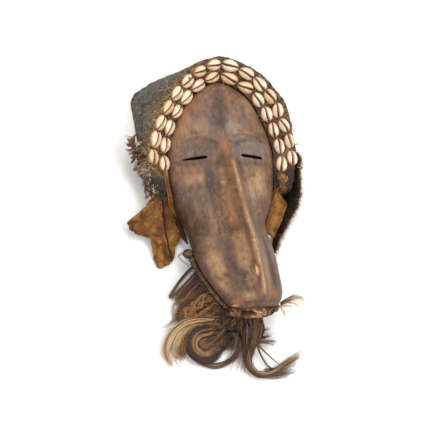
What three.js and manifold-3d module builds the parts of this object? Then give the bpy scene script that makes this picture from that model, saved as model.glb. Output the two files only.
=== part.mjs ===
// A carved bird-beaked wooden mask with a cloth hood, two rows of cowries and a beard of hair.
// It lies on its back: the hood and the chin touch the table, the beak points up and forward.
// Millimetres. +Z up, +Y towards the forehead, +X to the mask's left. Z 0 is the table.

import * as THREE from "three";
import { mergeVertices } from "three/addons/utils/BufferGeometryUtils.js";
import Module from "manifold-3d";

const wasm = await Module();
wasm.setup();

// Driving dimensions of the carved mask, in its own frame: u across, v towards the forehead
// from the line of the eyes, w forward from the plane of the outline.
const FACE_HALF_WIDTH = 74;
const FOREHEAD_LENGTH = 99;
const FOREHEAD_HEIGHT = 24;
const OUTLINE_POWER = 1.66;
const RIM_DEPTH = 11;
const WALL = 9;
const ARCH_POWER = 2.3;
const ARCH_ROUNDNESS = 0.62;
const CREST_SHARPNESS = 1.2;

// How the mask lies.
const REST_TILT = THREE.MathUtils.degToRad(15);
const EYE_LINE_HEIGHT = 31.8;

// The face and beak below the eyes: half width, side edge, rounded crown, nose crest, nose half width.
const FACE_STATIONS = [
  { v: 0, half: 74, edge: 0, crown: 24, crest: 29, nose: 13 },
  { v: -12, half: 74, edge: 0, crown: 26, crest: 42, nose: 17 },
  { v: -35, half: 72, edge: 0, crown: 32, crest: 54, nose: 20 },
  { v: -57, half: 67.5, edge: 0, crown: 38, crest: 63, nose: 22 },
  { v: -75, half: 61.5, edge: 0, crown: 45, crest: 72, nose: 24 },
  { v: -90, half: 55.5, edge: 2, crown: 54, crest: 79, nose: 26 },
  { v: -105, half: 55, edge: 12, crown: 63, crest: 87, nose: 27 },
  { v: -124, half: 55.5, edge: 25, crown: 73, crest: 95, nose: 27 },
  { v: -143, half: 54, edge: 37, crown: 83, crest: 103, nose: 26 },
  { v: -162, half: 50, edge: 49, crown: 91, crest: 109, nose: 23 },
  { v: -178, half: 44.5, edge: 59, crown: 97, crest: 111, nose: 17 },
  { v: -188, half: 39, edge: 65, crown: 97, crest: 107, nose: 12 },
  { v: -195, half: 33, edge: 70, crown: 87, crest: 90, nose: 8 },
];

const BEAK_TIP = FACE_STATIONS.at(-1).v;

// Eye slits.
const SLIT_CENTRE = 39;
const SLIT_LENGTH = 33;
const SLIT_HEIGHT = 3.8;
const SLIT_DROOP = THREE.MathUtils.degToRad(6);

// The hood: a cloth bag whose front margin carries the cowries and whose back lies on the table.
const CLOTH = 3;
const SEAM_GAP = 2;
const HEM = -45;
const BAND_OUTER_HALF = 104;
const BAND_OUTER_TOP = 128;
const HEM_OUTER_HALF = 94.5;
const BAND_SHIFT = 2.5;

// How far forward the band's two edges stand at the temples, and how much more over the forehead.
const BAND_INNER_FRONT = 2.5;
const BAND_OUTER_FRONT = 7;
const BAND_INNER_SWELL = 1;
const BAND_OUTER_SWELL = 10;

// Cowries, laid end to end along the band.
const COWRIE = { length: 20.6, width: 14.2, height: 7.4 };
const COWRIE_CLEARANCE = 1.2;
const OUTER_ROW = { count: 16, half: 96.6, top: 120.5, end: -1 };
const INNER_ROW = { count: 14, half: 81.8, top: 106.4, end: -9 };

const materials = {
  wood: new THREE.MeshStandardMaterial({ color: 0x7a5a45, roughness: 0.5, metalness: 0 }),
  cloth: new THREE.MeshStandardMaterial({ color: 0x45433f, roughness: 0.95, metalness: 0 }),
  shell: new THREE.MeshStandardMaterial({ color: 0xe8d8bc, roughness: 0.35, metalness: 0 }),
  leather: new THREE.MeshStandardMaterial({ color: 0x9a6636, roughness: 0.75, metalness: 0 }),
  hide: new THREE.MeshStandardMaterial({ color: 0x2e2622, roughness: 0.9, metalness: 0 }),
  feather: new THREE.MeshStandardMaterial({ color: 0x6b4c3a, roughness: 0.8, metalness: 0 }),
  fibre: new THREE.MeshStandardMaterial({ color: 0x8a5a35, roughness: 0.9, metalness: 0 }),
  hair: new THREE.MeshStandardMaterial({ color: 0x5a4030, roughness: 0.6, metalness: 0 }),
};

// Small numeric helpers.
const lerp = THREE.MathUtils.lerp;
const bump = (x, centre, width) => Math.exp(-(((x - centre) / width) ** 2));
const range = (count) => [...Array(count).keys()];

function smooth(x, from, to) {
  const t = THREE.MathUtils.clamp((x - from) / (to - from), 0, 1);
  return t * t * (3 - 2 * t);
}

// A point of the mask's own frame, as it lies on the table.
function lying(u, v, w) {
  const y = v * Math.cos(REST_TILT) - w * Math.sin(REST_TILT);
  const z = v * Math.sin(REST_TILT) + w * Math.cos(REST_TILT) + EYE_LINE_HEIGHT;
  return new THREE.Vector3(u, y, z);
}

// One closed geometry from points and triangles, with its faces turned outwards.
function closedGeometry(points, triangles) {
  let volume = 0;
  for (const [a, b, c] of triangles) {
    volume += points[a].dot(new THREE.Vector3().crossVectors(points[b], points[c]));
  }
  const index = volume < 0 ? triangles.map(([a, b, c]) => [a, c, b]) : triangles;
  const geometry = new THREE.BufferGeometry();
  const places = points.flatMap((p) => [p.x, p.y, p.z]);
  geometry.setAttribute("position", new THREE.Float32BufferAttribute(places, 3));
  geometry.setIndex(index.flat());
  return geometry;
}

// A body through closed rings of points, capped at both ends.
function loft(rings) {
  const size = rings[0].length;
  const points = rings.flat();
  const triangles = [];
  for (let i = 0; i + 1 < rings.length; i++) {
    for (let j = 0; j < size; j++) {
      const a = i * size + j;
      const b = i * size + ((j + 1) % size);
      triangles.push([a, b, a + size], [b, b + size, a + size]);
    }
  }
  for (const [start, flip] of [[0, true], [(rings.length - 1) * size, false]]) {
    const centre = new THREE.Vector3();
    for (let j = 0; j < size; j++) centre.addScaledVector(points[start + j], 1 / size);
    points.push(centre);
    const hub = points.length - 1;
    for (let j = 0; j < size; j++) {
      const a = start + j;
      const b = start + ((j + 1) % size);
      triangles.push(flip ? [hub, b, a] : [hub, a, b]);
    }
  }
  return closedGeometry(points, triangles);
}

// Both faces of a sheet on a grid of points, joined along the grid's border.
function sheet(face, back) {
  const rows = face.length;
  const columns = face[0].length;
  const onFace = (i, j) => i * columns + j;
  const onBack = (i, j) => (rows + i) * columns + j;
  const triangles = [];
  const quad = (a, b, c, d) => triangles.push([a, b, c], [a, c, d]);
  for (let i = 0; i + 1 < rows; i++) {
    for (let j = 0; j + 1 < columns; j++) {
      quad(onFace(i, j), onFace(i + 1, j), onFace(i + 1, j + 1), onFace(i, j + 1));
      quad(onBack(i, j), onBack(i, j + 1), onBack(i + 1, j + 1), onBack(i + 1, j));
    }
    quad(onFace(i, 0), onBack(i, 0), onBack(i + 1, 0), onFace(i + 1, 0));
    const last = columns - 1;
    quad(onFace(i, last), onFace(i + 1, last), onBack(i + 1, last), onBack(i, last));
  }
  for (let j = 0; j + 1 < columns; j++) {
    quad(onFace(0, j), onFace(0, j + 1), onBack(0, j + 1), onBack(0, j));
    quad(onFace(rows - 1, j), onBack(rows - 1, j), onBack(rows - 1, j + 1), onFace(rows - 1, j + 1));
  }
  return closedGeometry([...face.flat(), ...back.flat()], triangles);
}

// The grid pushed out by the sheet's thickness, square to its surface.
function offset(grid, thickness) {
  const rows = grid.length;
  const columns = grid[0].length;
  const at = (i, j) => grid[THREE.MathUtils.clamp(i, 0, rows - 1)][THREE.MathUtils.clamp(j, 0, columns - 1)];
  return grid.map((line, i) => line.map((point, j) => {
    const along = new THREE.Vector3().subVectors(at(i + 1, j), at(i - 1, j));
    const across = new THREE.Vector3().subVectors(at(i, j + 1), at(i, j - 1));
    return point.clone().addScaledVector(along.cross(across).normalize(), thickness);
  }));
}

const thicken = (grid, thickness) => sheet(grid, offset(grid, thickness));

// A tapering round strand or lock along a smooth line through the given points.
function lock(points, radius, flatness = 1, steps = 10, sides = 7) {
  const curve = new THREE.CatmullRomCurve3(points.map((p) => new THREE.Vector3(...p)));
  const rings = range(steps + 1).map((i) => {
    const t = i / steps;
    const centre = curve.getPoint(t);
    const tangent = curve.getTangent(t);
    const side = new THREE.Vector3(tangent.y, -tangent.x, 0).normalize();
    const rise = new THREE.Vector3().crossVectors(side, tangent).normalize();
    const r = radius * Math.sin(Math.PI * lerp(0.22, 0.93, t));
    return range(sides).map((k) => {
      const turn = (2 * Math.PI * k) / sides;
      const point = centre.clone().addScaledVector(side, r * Math.cos(turn));
      return point.addScaledVector(rise, r * flatness * Math.sin(turn));
    });
  });
  return loft(rings);
}

function toSolid(geometry) {
  const bare = geometry.clone();
  bare.deleteAttribute("normal");
  bare.deleteAttribute("uv");
  const merged = mergeVertices(bare, 1e-4);
  const triVerts = new Uint32Array(merged.index.array);
  const vertProperties = merged.attributes.position.array;
  return new wasm.Manifold(new wasm.Mesh({ numProp: 3, vertProperties, triVerts }));
}

function toGeometry(solid) {
  const mesh = solid.getMesh();
  const geometry = new THREE.BufferGeometry();
  geometry.setAttribute("position", new THREE.Float32BufferAttribute(mesh.vertProperties, 3));
  geometry.setIndex([...mesh.triVerts]);
  return geometry;
}

// The face's outline and relief. Between stations every size follows a smooth curve.
function stationValue(key, v) {
  let i = 0;
  while (i < FACE_STATIONS.length - 2 && v < FACE_STATIONS[i + 1].v) i++;
  const pick = (k) => FACE_STATIONS[THREE.MathUtils.clamp(k, 0, FACE_STATIONS.length - 1)];
  const [a, b] = [pick(i), pick(i + 1)];
  const slope = (lo, hi) => (hi[key] - lo[key]) / (hi.v - lo.v || 1);
  const t = (v - a.v) / (b.v - a.v);
  const span = b.v - a.v;
  const [start, end] = [slope(pick(i - 1), b) * span, slope(a, pick(i + 2)) * span];
  const cubic = (2 * t ** 3 - 3 * t ** 2 + 1) * a[key] + (t ** 3 - 2 * t ** 2 + t) * start;
  return cubic + (3 * t ** 2 - 2 * t ** 3) * b[key] + (t ** 3 - t ** 2) * end;
}

function superellipse(half, length, v) {
  return half * Math.max(0, 1 - (v / length) ** OUTLINE_POWER) ** (1 / OUTLINE_POWER);
}

function halfWidth(v) {
  return v > 0 ? superellipse(FACE_HALF_WIDTH, FOREHEAD_LENGTH, v) : stationValue("half", v);
}

function crown(v) {
  if (v <= 0) return stationValue("crown", v);
  return FOREHEAD_HEIGHT * Math.sqrt(1 - (v / FOREHEAD_LENGTH) ** 3);
}

function edge(v) {
  return v > 0 ? 0 : stationValue("edge", v);
}

function noseRise(v) {
  const rise = v > 0 ? 5 * (1 - smooth(v, 0, 24)) : stationValue("crest", v) - stationValue("crown", v);
  return Math.max(0, rise);
}

function noseHalf(v) {
  return v > 0 ? 13 : stationValue("nose", v);
}

// The eye sockets sink below the brows, and each lid swells around its slit.
function eyeRelief(u, v) {
  const side = Math.abs(u);
  const brow = 15 + 9 * Math.sin(Math.PI * THREE.MathUtils.clamp((side - 6) / 58, 0, 1));
  const reach = smooth(side, 6, 22) * (1 - smooth(side, 56, 72));
  const socket = -7 * reach * (1 - smooth(v, brow - 7, brow + 1)) * smooth(v, -28, 4);
  const lid = 2 * reach * bump(v, -2, 9);
  return socket + lid;
}

function front(u, v) {
  const s = Math.min(1, Math.abs(u) / Math.max(halfWidth(v), 0.1));
  const arch = (1 - s ** ARCH_POWER) ** ARCH_ROUNDNESS;
  const nose = noseRise(v) * Math.max(0, 1 - Math.abs(u) / noseHalf(v)) ** CREST_SHARPNESS;
  return edge(v) + (crown(v) - edge(v)) * arch + nose + eyeRelief(u, v) * arch;
}

// How far the underside of the beak draws in below its side edges.
function underHalf(v) {
  return halfWidth(v) * lerp(1, 0.72, smooth(-v, 84, 100));
}

function maskRing(v, columns) {
  const half = halfWidth(v);
  const ring = range(columns + 1).map((i) => {
    const t = (2 * i) / columns - 1;
    const u = half * Math.sign(t) * Math.sin((Math.PI / 2) * Math.abs(t)) ** 1.15;
    return new THREE.Vector3(u, v, front(u, v));
  });
  const low = underHalf(v);
  const back = edge(v) - RIM_DEPTH;
  for (const u of [low, low / 2, -low / 2, -low]) ring.push(new THREE.Vector3(u, v, back));
  return ring;
}

// Stations along the mask, closer together around the eyes and at both ends.
function stationLines() {
  const forehead = range(9).map((i) => (FOREHEAD_LENGTH - 0.3) * Math.cos((i / 9) * 1.27));
  const eyes = range(7).map((i) => lerp(26, -10, i / 7));
  const beak = range(14).map((i) => lerp(-10, -180, i / 14));
  const tip = range(4).map((i) => lerp(-180, BEAK_TIP, i / 3));
  return [...forehead, ...eyes, ...beak, ...tip];
}

function hollow() {
  const faceLines = [FOREHEAD_LENGTH - WALL - 3, 78, 64, 48, 32, 16, 0, -15, -30, -45, -60, -74];
  const lines = [...faceLines, -74.5, -88, -100, -110];
  return loft(lines.map((v) => {
    const deep = v < -74.2;
    const half = Math.max(4, (halfWidth(v) - WALL) * (deep ? lerp(0.94, 0.55, smooth(-v, 75, 110)) : 1));
    const roof = (u) => {
      const s = Math.abs(u) / half;
      const rise = crown(v) - WALL - (deep ? 4 + 14 * smooth(-v, 80, 110) : 0);
      return edge(v) + Math.max(0, rise - edge(v)) * (1 - s ** ARCH_POWER) ** ARCH_ROUNDNESS;
    };
    const ring = range(13).map((i) => {
      const t = i / 6 - 1;
      const u = half * Math.sign(t) * Math.sin((Math.PI / 2) * Math.abs(t));
      return new THREE.Vector3(u, v, roof(u));
    });
    const floor = deep ? edge(v) - RIM_DEPTH + WALL : -2 * RIM_DEPTH;
    ring.push(new THREE.Vector3(half, v, floor), new THREE.Vector3(-half, v, floor));
    return ring;
  }));
}

function slit(sign) {
  const shape = new THREE.Shape();
  shape.moveTo(-SLIT_LENGTH / 2, 0);
  shape.quadraticCurveTo(0, SLIT_HEIGHT, SLIT_LENGTH / 2, 0);
  shape.quadraticCurveTo(0, -SLIT_HEIGHT, -SLIT_LENGTH / 2, 0);
  const cut = new THREE.ExtrudeGeometry(shape, { depth: 60, bevelEnabled: false, curveSegments: 4 });
  cut.rotateZ(-sign * SLIT_DROOP);
  cut.translate(sign * SLIT_CENTRE, -3, -20);
  return cut;
}

function woodenMask() {
  const body = toSolid(loft(stationLines().map((v) => maskRing(v, 32))));
  const open = body.subtract(toSolid(hollow()));
  return toGeometry(open.subtract(toSolid(slit(-1))).subtract(toSolid(slit(1))));
}

// The arch that the hood's margin and the cowrie rows follow: t runs from 0 at the mask's right
// side, over the forehead at 0.5, to 1 at its left side.
function archPoint(t, half, top) {
  const turn = Math.PI * t;
  const reach = (x) => Math.sign(x) * Math.abs(x) ** (2 / OUTLINE_POWER);
  return new THREE.Vector2(-half * reach(Math.cos(turn)), top * reach(Math.sin(turn)));
}

// Even steps of length along an arch that runs on straight below the eye line down to its end.
function archWalk(count, half, top, end, endHalf = half) {
  const fine = [];
  fine.push(new THREE.Vector2(-endHalf, end));
  for (const i of range(201)) fine.push(archPoint(i / 200, half, top));
  fine.push(new THREE.Vector2(endHalf, end));
  const lengths = [0];
  for (let i = 1; i < fine.length; i++) lengths.push(lengths[i - 1] + fine[i].distanceTo(fine[i - 1]));
  return range(count).map((k) => {
    const goal = (lengths[lengths.length - 1] * k) / (count - 1);
    let i = 1;
    while (i < fine.length - 1 && lengths[i] < goal) i++;
    const t = (goal - lengths[i - 1]) / (lengths[i] - lengths[i - 1] || 1);
    const point = fine[i - 1].clone().lerp(fine[i], t);
    return { point, tangent: fine[i].clone().sub(fine[i - 1]).normalize() };
  });
}

// How far forward the band stands: rise runs from the eye line to the arch's top, across from the
// band's inner to its outer edge.
function bandFront(rise, across) {
  const swell = Math.sin((Math.PI / 2) * THREE.MathUtils.clamp(rise, 0, 1));
  const inner = BAND_INNER_FRONT + BAND_INNER_SWELL * swell;
  return lerp(inner, BAND_OUTER_FRONT + BAND_OUTER_SWELL * swell, across);
}

// The hood's outline on the table: straight sides, two blunt top corners, a low gable between.
const FLOOR_OUTLINE = [[-93, -44], [-97, 0], [-101, 60], [-103, 98], [-94, 111], [-56, 134], [0, 153]];
const FLOOR_OUTLINE_FAR = [[42, 138], [76, 110], [88, 90], [94, 52], [96, 0], [94, -44]];

function clothHood() {
  const count = 37;
  const woodSizes = [FACE_HALF_WIDTH, FOREHEAD_LENGTH, halfWidth(HEM)];
  const [innerHalf, innerTop, innerEnd] = woodSizes.map((size) => size + SEAM_GAP);
  const inner = archWalk(count, innerHalf, innerTop, HEM, innerEnd);
  const outer = archWalk(count, BAND_OUTER_HALF, BAND_OUTER_TOP, HEM, HEM_OUTER_HALF);
  const outline = [...FLOOR_OUTLINE, ...FLOOR_OUTLINE_FAR].map(([x, y]) => new THREE.Vector3(x, y, 0));
  const floor = new THREE.CatmullRomCurve3(outline).getSpacedPoints(count - 1);
  const grid = range(count).map((i) => {
    const { x, y } = inner[i].point;
    const margin = lying(x, y, bandFront(y / FOREHEAD_LENGTH, 0));
    const front = bandFront(outer[i].point.y / BAND_OUTER_TOP, 1);
    const turn = lying(outer[i].point.x + BAND_SHIFT, outer[i].point.y, front);
    const centred = Math.sin((Math.PI * i) / (count - 1));
    const spine = new THREE.Vector3(0, lerp(HEM + 1, 62, centred ** 1.5), 0);
    const out = floor[i];
    const shoulder = turn.clone().lerp(out, 0.12);
    shoulder.z = turn.z - 5;
    const low = out.clone().lerp(turn, 0.18);
    low.z = Math.min(6, turn.z * 0.3);
    const inside = out.clone().lerp(spine, 0.05);
    return [
      margin,
      margin.clone().lerp(turn, 0.5),
      margin.clone().lerp(turn, 0.96),
      shoulder,
      shoulder.clone().lerp(low, 0.5),
      low,
      inside,
      out.clone().lerp(spine, 0.4),
      spine,
    ];
  });
  return sewnBag(grid);
}

// A bag of cloth whose last grid line is folded onto itself along a seam, so that line has no edge.
function sewnBag(grid) {
  const rows = grid.length;
  const columns = grid[0].length;
  const at = (i, j) => grid[THREE.MathUtils.clamp(i, 0, rows - 1)][THREE.MathUtils.clamp(j, 0, columns - 1)];
  const inward = (i, j) => {
    if (j === columns - 1) return new THREE.Vector3(0, 0, 1);
    const along = new THREE.Vector3().subVectors(at(i + 1, j), at(i - 1, j));
    const across = new THREE.Vector3().subVectors(at(i, j + 1), at(i, j - 1));
    return along.cross(across).normalize();
  };
  const side = inward(4, 0).z < 0 ? 1 : -1;
  const lining = grid.map((line, i) => line.map((point, j) => {
    const push = j === columns - 1 ? CLOTH : side * CLOTH;
    return point.clone().addScaledVector(inward(i, j), push);
  }));
  for (const line of lining) {
    for (const j of [columns - 3, columns - 2]) line[j].z = CLOTH;
  }
  const points = [...grid.flat(), ...lining.flat()];
  const skip = rows * columns;
  const outer = (i, j) => (j === columns - 1 ? Math.min(i, rows - 1 - i) : i) * columns + j;
  const lined = (i, j) => outer(i, j) + skip;
  const triangles = [];
  const quad = (a, b, c, d) => {
    if (a !== b && b !== c && a !== c) triangles.push([a, b, c]);
    if (a !== c && c !== d && a !== d) triangles.push([a, c, d]);
  };
  for (let i = 0; i + 1 < rows; i++) {
    for (let j = 0; j + 1 < columns; j++) {
      quad(outer(i, j), outer(i + 1, j), outer(i + 1, j + 1), outer(i, j + 1));
      quad(lined(i, j), lined(i, j + 1), lined(i + 1, j + 1), lined(i + 1, j));
    }
    quad(outer(i, 0), lined(i, 0), lined(i + 1, 0), outer(i + 1, 0));
  }
  for (let j = 0; j + 1 < columns; j++) {
    quad(outer(0, j), outer(0, j + 1), lined(0, j + 1), lined(0, j));
    quad(outer(rows - 1, j), lined(rows - 1, j), lined(rows - 1, j + 1), outer(rows - 1, j + 1));
  }
  return closedGeometry(points, triangles);
}

// One cowrie, its slit side out: an egg-shaped dome with a groove, flat where it is sewn down.
function cowrieGeometry() {
  const profile = [[0, 0], [0.86, 0], [1, 0.3], [0.86, 0.72], [0.5, 0.95], [0, 1]];
  const dome = new THREE.LatheGeometry(profile.map(([r, h]) => new THREE.Vector2(r, h)), 9);
  dome.rotateX(Math.PI / 2);
  const place = dome.attributes.position;
  for (const i of range(place.count)) {
    const [x, y, z] = [place.getX(i), place.getY(i), place.getZ(i)];
    const groove = z > 0.5 && Math.abs(x) < 0.1 ? 0.16 : 0;
    const width = (COWRIE.width / 2) * (1 - 0.12 * y);
    place.setXYZ(i, x * width, (y * COWRIE.length) / 2, (z - groove) * COWRIE.height);
  }
  dome.deleteAttribute("normal");
  dome.deleteAttribute("uv");
  return mergeVertices(dome, 1e-3);
}

// A row of cowries along the band, each lying in the band's slope with its length along the row.
function cowrieRow(name, row) {
  const shape = cowrieGeometry();
  const margin = FACE_HALF_WIDTH + SEAM_GAP;
  const across = (row.half - margin) / (BAND_OUTER_HALF - margin);
  return archWalk(row.count, row.half, row.top, row.end).map(({ point, tangent }, i) => {
    const rise = point.y / row.top;
    const climb = bandFront(rise + tangent.y / row.top, across) - bandFront(rise, across);
    const slope = (bandFront(rise, 1) - bandFront(rise, 0)) / (BAND_OUTER_HALF - margin);
    const along = new THREE.Vector3(tangent.x, tangent.y, climb).normalize();
    const inwards = new THREE.Vector3(tangent.y, -tangent.x, -slope).normalize();
    const facing = inwards.clone().cross(along).normalize();
    const cowrie = new THREE.Mesh(shape, materials.shell);
    cowrie.name = `${name}_${i + 1}`;
    cowrie.position.set(point.x + BAND_SHIFT, point.y, bandFront(rise, across) + COWRIE_CLEARANCE);
    const turn = new THREE.Matrix4().makeBasis(along.clone().cross(facing), along, facing);
    cowrie.quaternion.setFromRotationMatrix(turn);
    return cowrie;
  });
}

// A hanging flap as a sheet: each row runs from its outer edge to its inner edge.
function flap(rows, thickness, columns = 4) {
  return thicken(rows.map(([outer, inner, sag = 0]) => {
    const [from, to] = [new THREE.Vector3(...outer), new THREE.Vector3(...inner)];
    return range(columns + 1).map((j) => {
      const point = from.clone().lerp(to, j / columns);
      point.z += sag * Math.sin((Math.PI * j) / columns);
      return point;
    });
  }), thickness);
}

// The tan flap at the mask's right side: a broad wing to the left and a long point below.
const FLAP_RIGHT_ROWS = [
  [[-84, -47, 17], [-76, -47, 15]],
  [[-104, -60, 16], [-72, -58, 13], 2],
  [[-119, -72, 16], [-69, -68, 12], 3],
  [[-129, -82, 15], [-66, -79, 11], 3],
  [[-120, -96, 10], [-60, -93, 12], 3],
  [[-102, -106, 8], [-66, -103, 9], 3],
  [[-99, -121, 6], [-70, -117, 7], 2],
  [[-95, -138, 4], [-76, -130, 5], 1],
  [[-92, -144, 4], [-87, -143, 4]],
];

// The tan flap at the mask's left side.
const FLAP_LEFT_ROWS = [
  [[82, -46, 22], [78, -46, 20]],
  [[95, -61, 24], [72, -58, 17]],
  [[91, -78, 22], [66, -75, 15]],
  [[81, -94, 19], [62, -90, 13]],
  [[70, -108, 14], [64, -106, 13]],
];

// The dark hide curtain beyond it: its free edge stands up, its lower edge slopes in to the table.
const HIDE_FLAP_ROWS = [
  [[113, 8, 36], [109, 10, 12]],
  [[117, -4, 34], [107, -5, 6]],
  [[113, -21, 32], [103, -24, 3]],
  [[111, -38, 28], [98, -44, 2]],
  [[110, -53, 23], [88, -60, 2]],
  [[103, -70, 18], [80, -76, 2]],
  [[93, -81, 14], [75, -90, 2]],
  [[83, -95, 12], [70, -103, 2]],
  [[74, -108, 10], [66, -114, 2]],
  [[64, -124, 8], [60, -125, 3]],
];

// The skin that carries the beard, laced under the beak's side edges from behind the chin to the tip.
const BEARD_SKIN = 3;
const BEARD_SKIN_GAP = 1.7;

function beardSkin() {
  const lines = range(9).map((i) => lerp(-122, BEAK_TIP + 2.5, i / 8));
  return thicken(lines.map((v) => {
    const low = edge(v) - RIM_DEPTH - BEARD_SKIN_GAP;
    const [side, under] = [halfWidth(v) + BEARD_SKIN_GAP + 1, underHalf(v)];
    const flank = [[side, low + 6], [lerp(under, side, 0.5), low + 1], [under, low]];
    const across = [...flank.map(([u, w]) => [-u, w]), [0, low - 1], ...flank.toReversed()];
    return across.map(([u, w]) => lying(u, v, w));
  }), -BEARD_SKIN);
}

// The crumpled leather that binds the skin's end over the tip of the beak.
function tipBinding() {
  const half = halfWidth(BEAK_TIP);
  const lines = range(9).map((i) => lerp(-half, half, i / 8) * 0.98);
  return thicken(lines.map((u) => {
    const droop = 3 * (u / half) ** 2;
    const heights = [[-1.6, 85 - droop * 2], [-5, 80 - droop], [-8, 71], [-9, 61], [-8, 52]];
    return heights.map(([ahead, w]) => lying(u, BEAK_TIP + ahead + droop, w));
  }), -3.2);
}

// Locks of the beard, each a plain solid along the way its hair falls.
const LOCKS = {
  straight: {
    radius: 9,
    flatness: 0.5,
    points: [[-50, -147, 12], [-63, -159, 9], [-76, -171, 7], [-90, -185, 5]],
  },
  curled: {
    radius: 12,
    flatness: 0.5,
    points: [[-28, -164, 12], [-47, -177, 10], [-65, -189, 8], [-82, -200, 7]],
  },
  sweep: {
    radius: 9,
    flatness: 0.6,
    points: [[-24, -201, 18], [-52, -206, 12], [-80, -217, 9], [-98, -236, 7], [-101, -256, 6]],
  },
  swirl: {
    radius: 8,
    flatness: 0.7,
    points: [[-22, -226, 10], [-50, -222, 9], [-72, -236, 8], [-60, -256, 7], [-38, -248, 7]],
  },
  loop: {
    radius: 5,
    flatness: 0.8,
    points: [[-6, -244, 8], [-14, -262, 6], [-34, -271, 5], [-58, -270, 4]],
  },
  front: {
    radius: 9,
    flatness: 0.7,
    points: [
      [4, -219, 31], [6, -230, 22], [5, -248, 13], [4, -268, 10], [18, -284, 9], [48, -281, 9], [80, -262, 9],
    ],
  },
  side: {
    radius: 6,
    flatness: 0.8,
    points: [[24, -214, 34], [28, -230, 22], [38, -248, 9], [52, -266, 6]],
  },
  wisp: {
    radius: 4,
    flatness: 0.6,
    points: [[47, -191, 49], [54, -192, 50], [68, -196, 51], [80, -202, 49]],
  },
};

// Feathers and quills tied beside the hood.
const FEATHER_LINE = [[-104, -52, 14], [-112, -34, 20], [-117, -12, 26], [-118, 12, 28], [-114, 38, 30]];
const FEATHER_RADIUS = 11;

// The lacing along the beak's right edge, and the knot at its end.
function lacing() {
  const along = range(13).map((i) => lerp(-134, BEAK_TIP + 3, i / 12));
  const path = along.map((v) => lying(-(halfWidth(v) + 6.2), v, edge(v) - 4).toArray());
  return lock(path, 2, 1, 24, 6);
}

function knot(radius, flatness, turn) {
  const ball = new THREE.SphereGeometry(radius, 12, 8);
  ball.scale(1, 1, flatness);
  ball.rotateX(turn);
  return mergeVertices(ball.deleteAttribute("normal").deleteAttribute("uv"), 1e-3);
}

const mesh = (name, geometry, material) => {
  const made = new THREE.Mesh(geometry, material);
  made.name = name;
  return made;
};

const carved = new THREE.Group();
carved.rotation.x = REST_TILT;
carved.position.z = EYE_LINE_HEIGHT;
carved.add(mesh("wooden_mask", woodenMask(), materials.wood));
const templeKnot = mesh("temple_knot", knot(8, 0.8, 0.3), materials.fibre);
templeKnot.position.set(83, -33, 15);
const lacingKnot = mesh("lacing_knot", knot(6.5, 0.85, 0.6), materials.fibre);
lacingKnot.position.set(-65, -126, 24);
carved.add(templeKnot, lacingKnot);
carved.add(...cowrieRow("cowrie_outer", OUTER_ROW), ...cowrieRow("cowrie_inner", INNER_ROW));

const mask = new THREE.Group();
mask.add(carved);
mask.add(mesh("cloth_hood", clothHood(), materials.cloth));
mask.add(mesh("leather_flap_right", flap(FLAP_RIGHT_ROWS, 2.2), materials.leather));
mask.add(mesh("leather_flap_left", flap(FLAP_LEFT_ROWS, 2.2), materials.leather));
mask.add(mesh("hide_flap", flap(HIDE_FLAP_ROWS, 2.5), materials.hide));
mask.add(mesh("beard_skin", beardSkin(), materials.hide));
mask.add(mesh("tip_binding", tipBinding(), materials.leather));
mask.add(mesh("beak_lacing", lacing(), materials.fibre));
mask.add(mesh("feather_tuft", lock(FEATHER_LINE, FEATHER_RADIUS, 0.8, 10, 8), materials.feather));
for (const [name, { points, radius, flatness }] of Object.entries(LOCKS)) {
  mask.add(mesh(`beard_lock_${name}`, lock(points, radius, flatness), materials.hair));
}

export default mask;
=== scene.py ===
"""A carved bird-beaked wooden mask lying on its back, with its hood, shells, leather and beard.

Shapes are worked out in millimetres. The mask's own frame has u across the face, v towards the
forehead from the line of the eyes, and w forward; lying() turns it as the mask lies on the table.
"""
import math

import bmesh
import bpy
import numpy as np
from mathutils import Matrix, Vector


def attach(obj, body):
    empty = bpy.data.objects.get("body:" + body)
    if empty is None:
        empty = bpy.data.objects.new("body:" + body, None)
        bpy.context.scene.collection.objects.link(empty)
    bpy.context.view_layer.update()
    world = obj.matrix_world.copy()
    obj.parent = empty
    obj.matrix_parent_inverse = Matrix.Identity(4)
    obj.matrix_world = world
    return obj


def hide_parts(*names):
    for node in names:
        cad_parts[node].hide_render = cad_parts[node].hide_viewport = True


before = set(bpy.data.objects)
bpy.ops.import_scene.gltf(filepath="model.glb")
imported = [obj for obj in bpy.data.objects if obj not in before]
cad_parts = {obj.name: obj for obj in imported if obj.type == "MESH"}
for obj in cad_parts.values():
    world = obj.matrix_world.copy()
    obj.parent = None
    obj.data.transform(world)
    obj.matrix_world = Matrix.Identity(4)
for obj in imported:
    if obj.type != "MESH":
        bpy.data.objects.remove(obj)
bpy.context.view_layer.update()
MM = 0.001

# Driving dimensions of the face, as the frame has them.
FACE_HALF_WIDTH = 74.0
FOREHEAD_LENGTH = 99.0
FOREHEAD_HEIGHT = 24.0
OUTLINE_POWER = 1.66
RIM_DEPTH = 11.0
WALL = 9.0
ARCH_POWER = 2.3
ARCH_ROUNDNESS = 0.62
CREST_SHARPNESS = 1.2
REST_TILT = math.radians(15)
EYE_LINE_HEIGHT = 31.8

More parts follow.
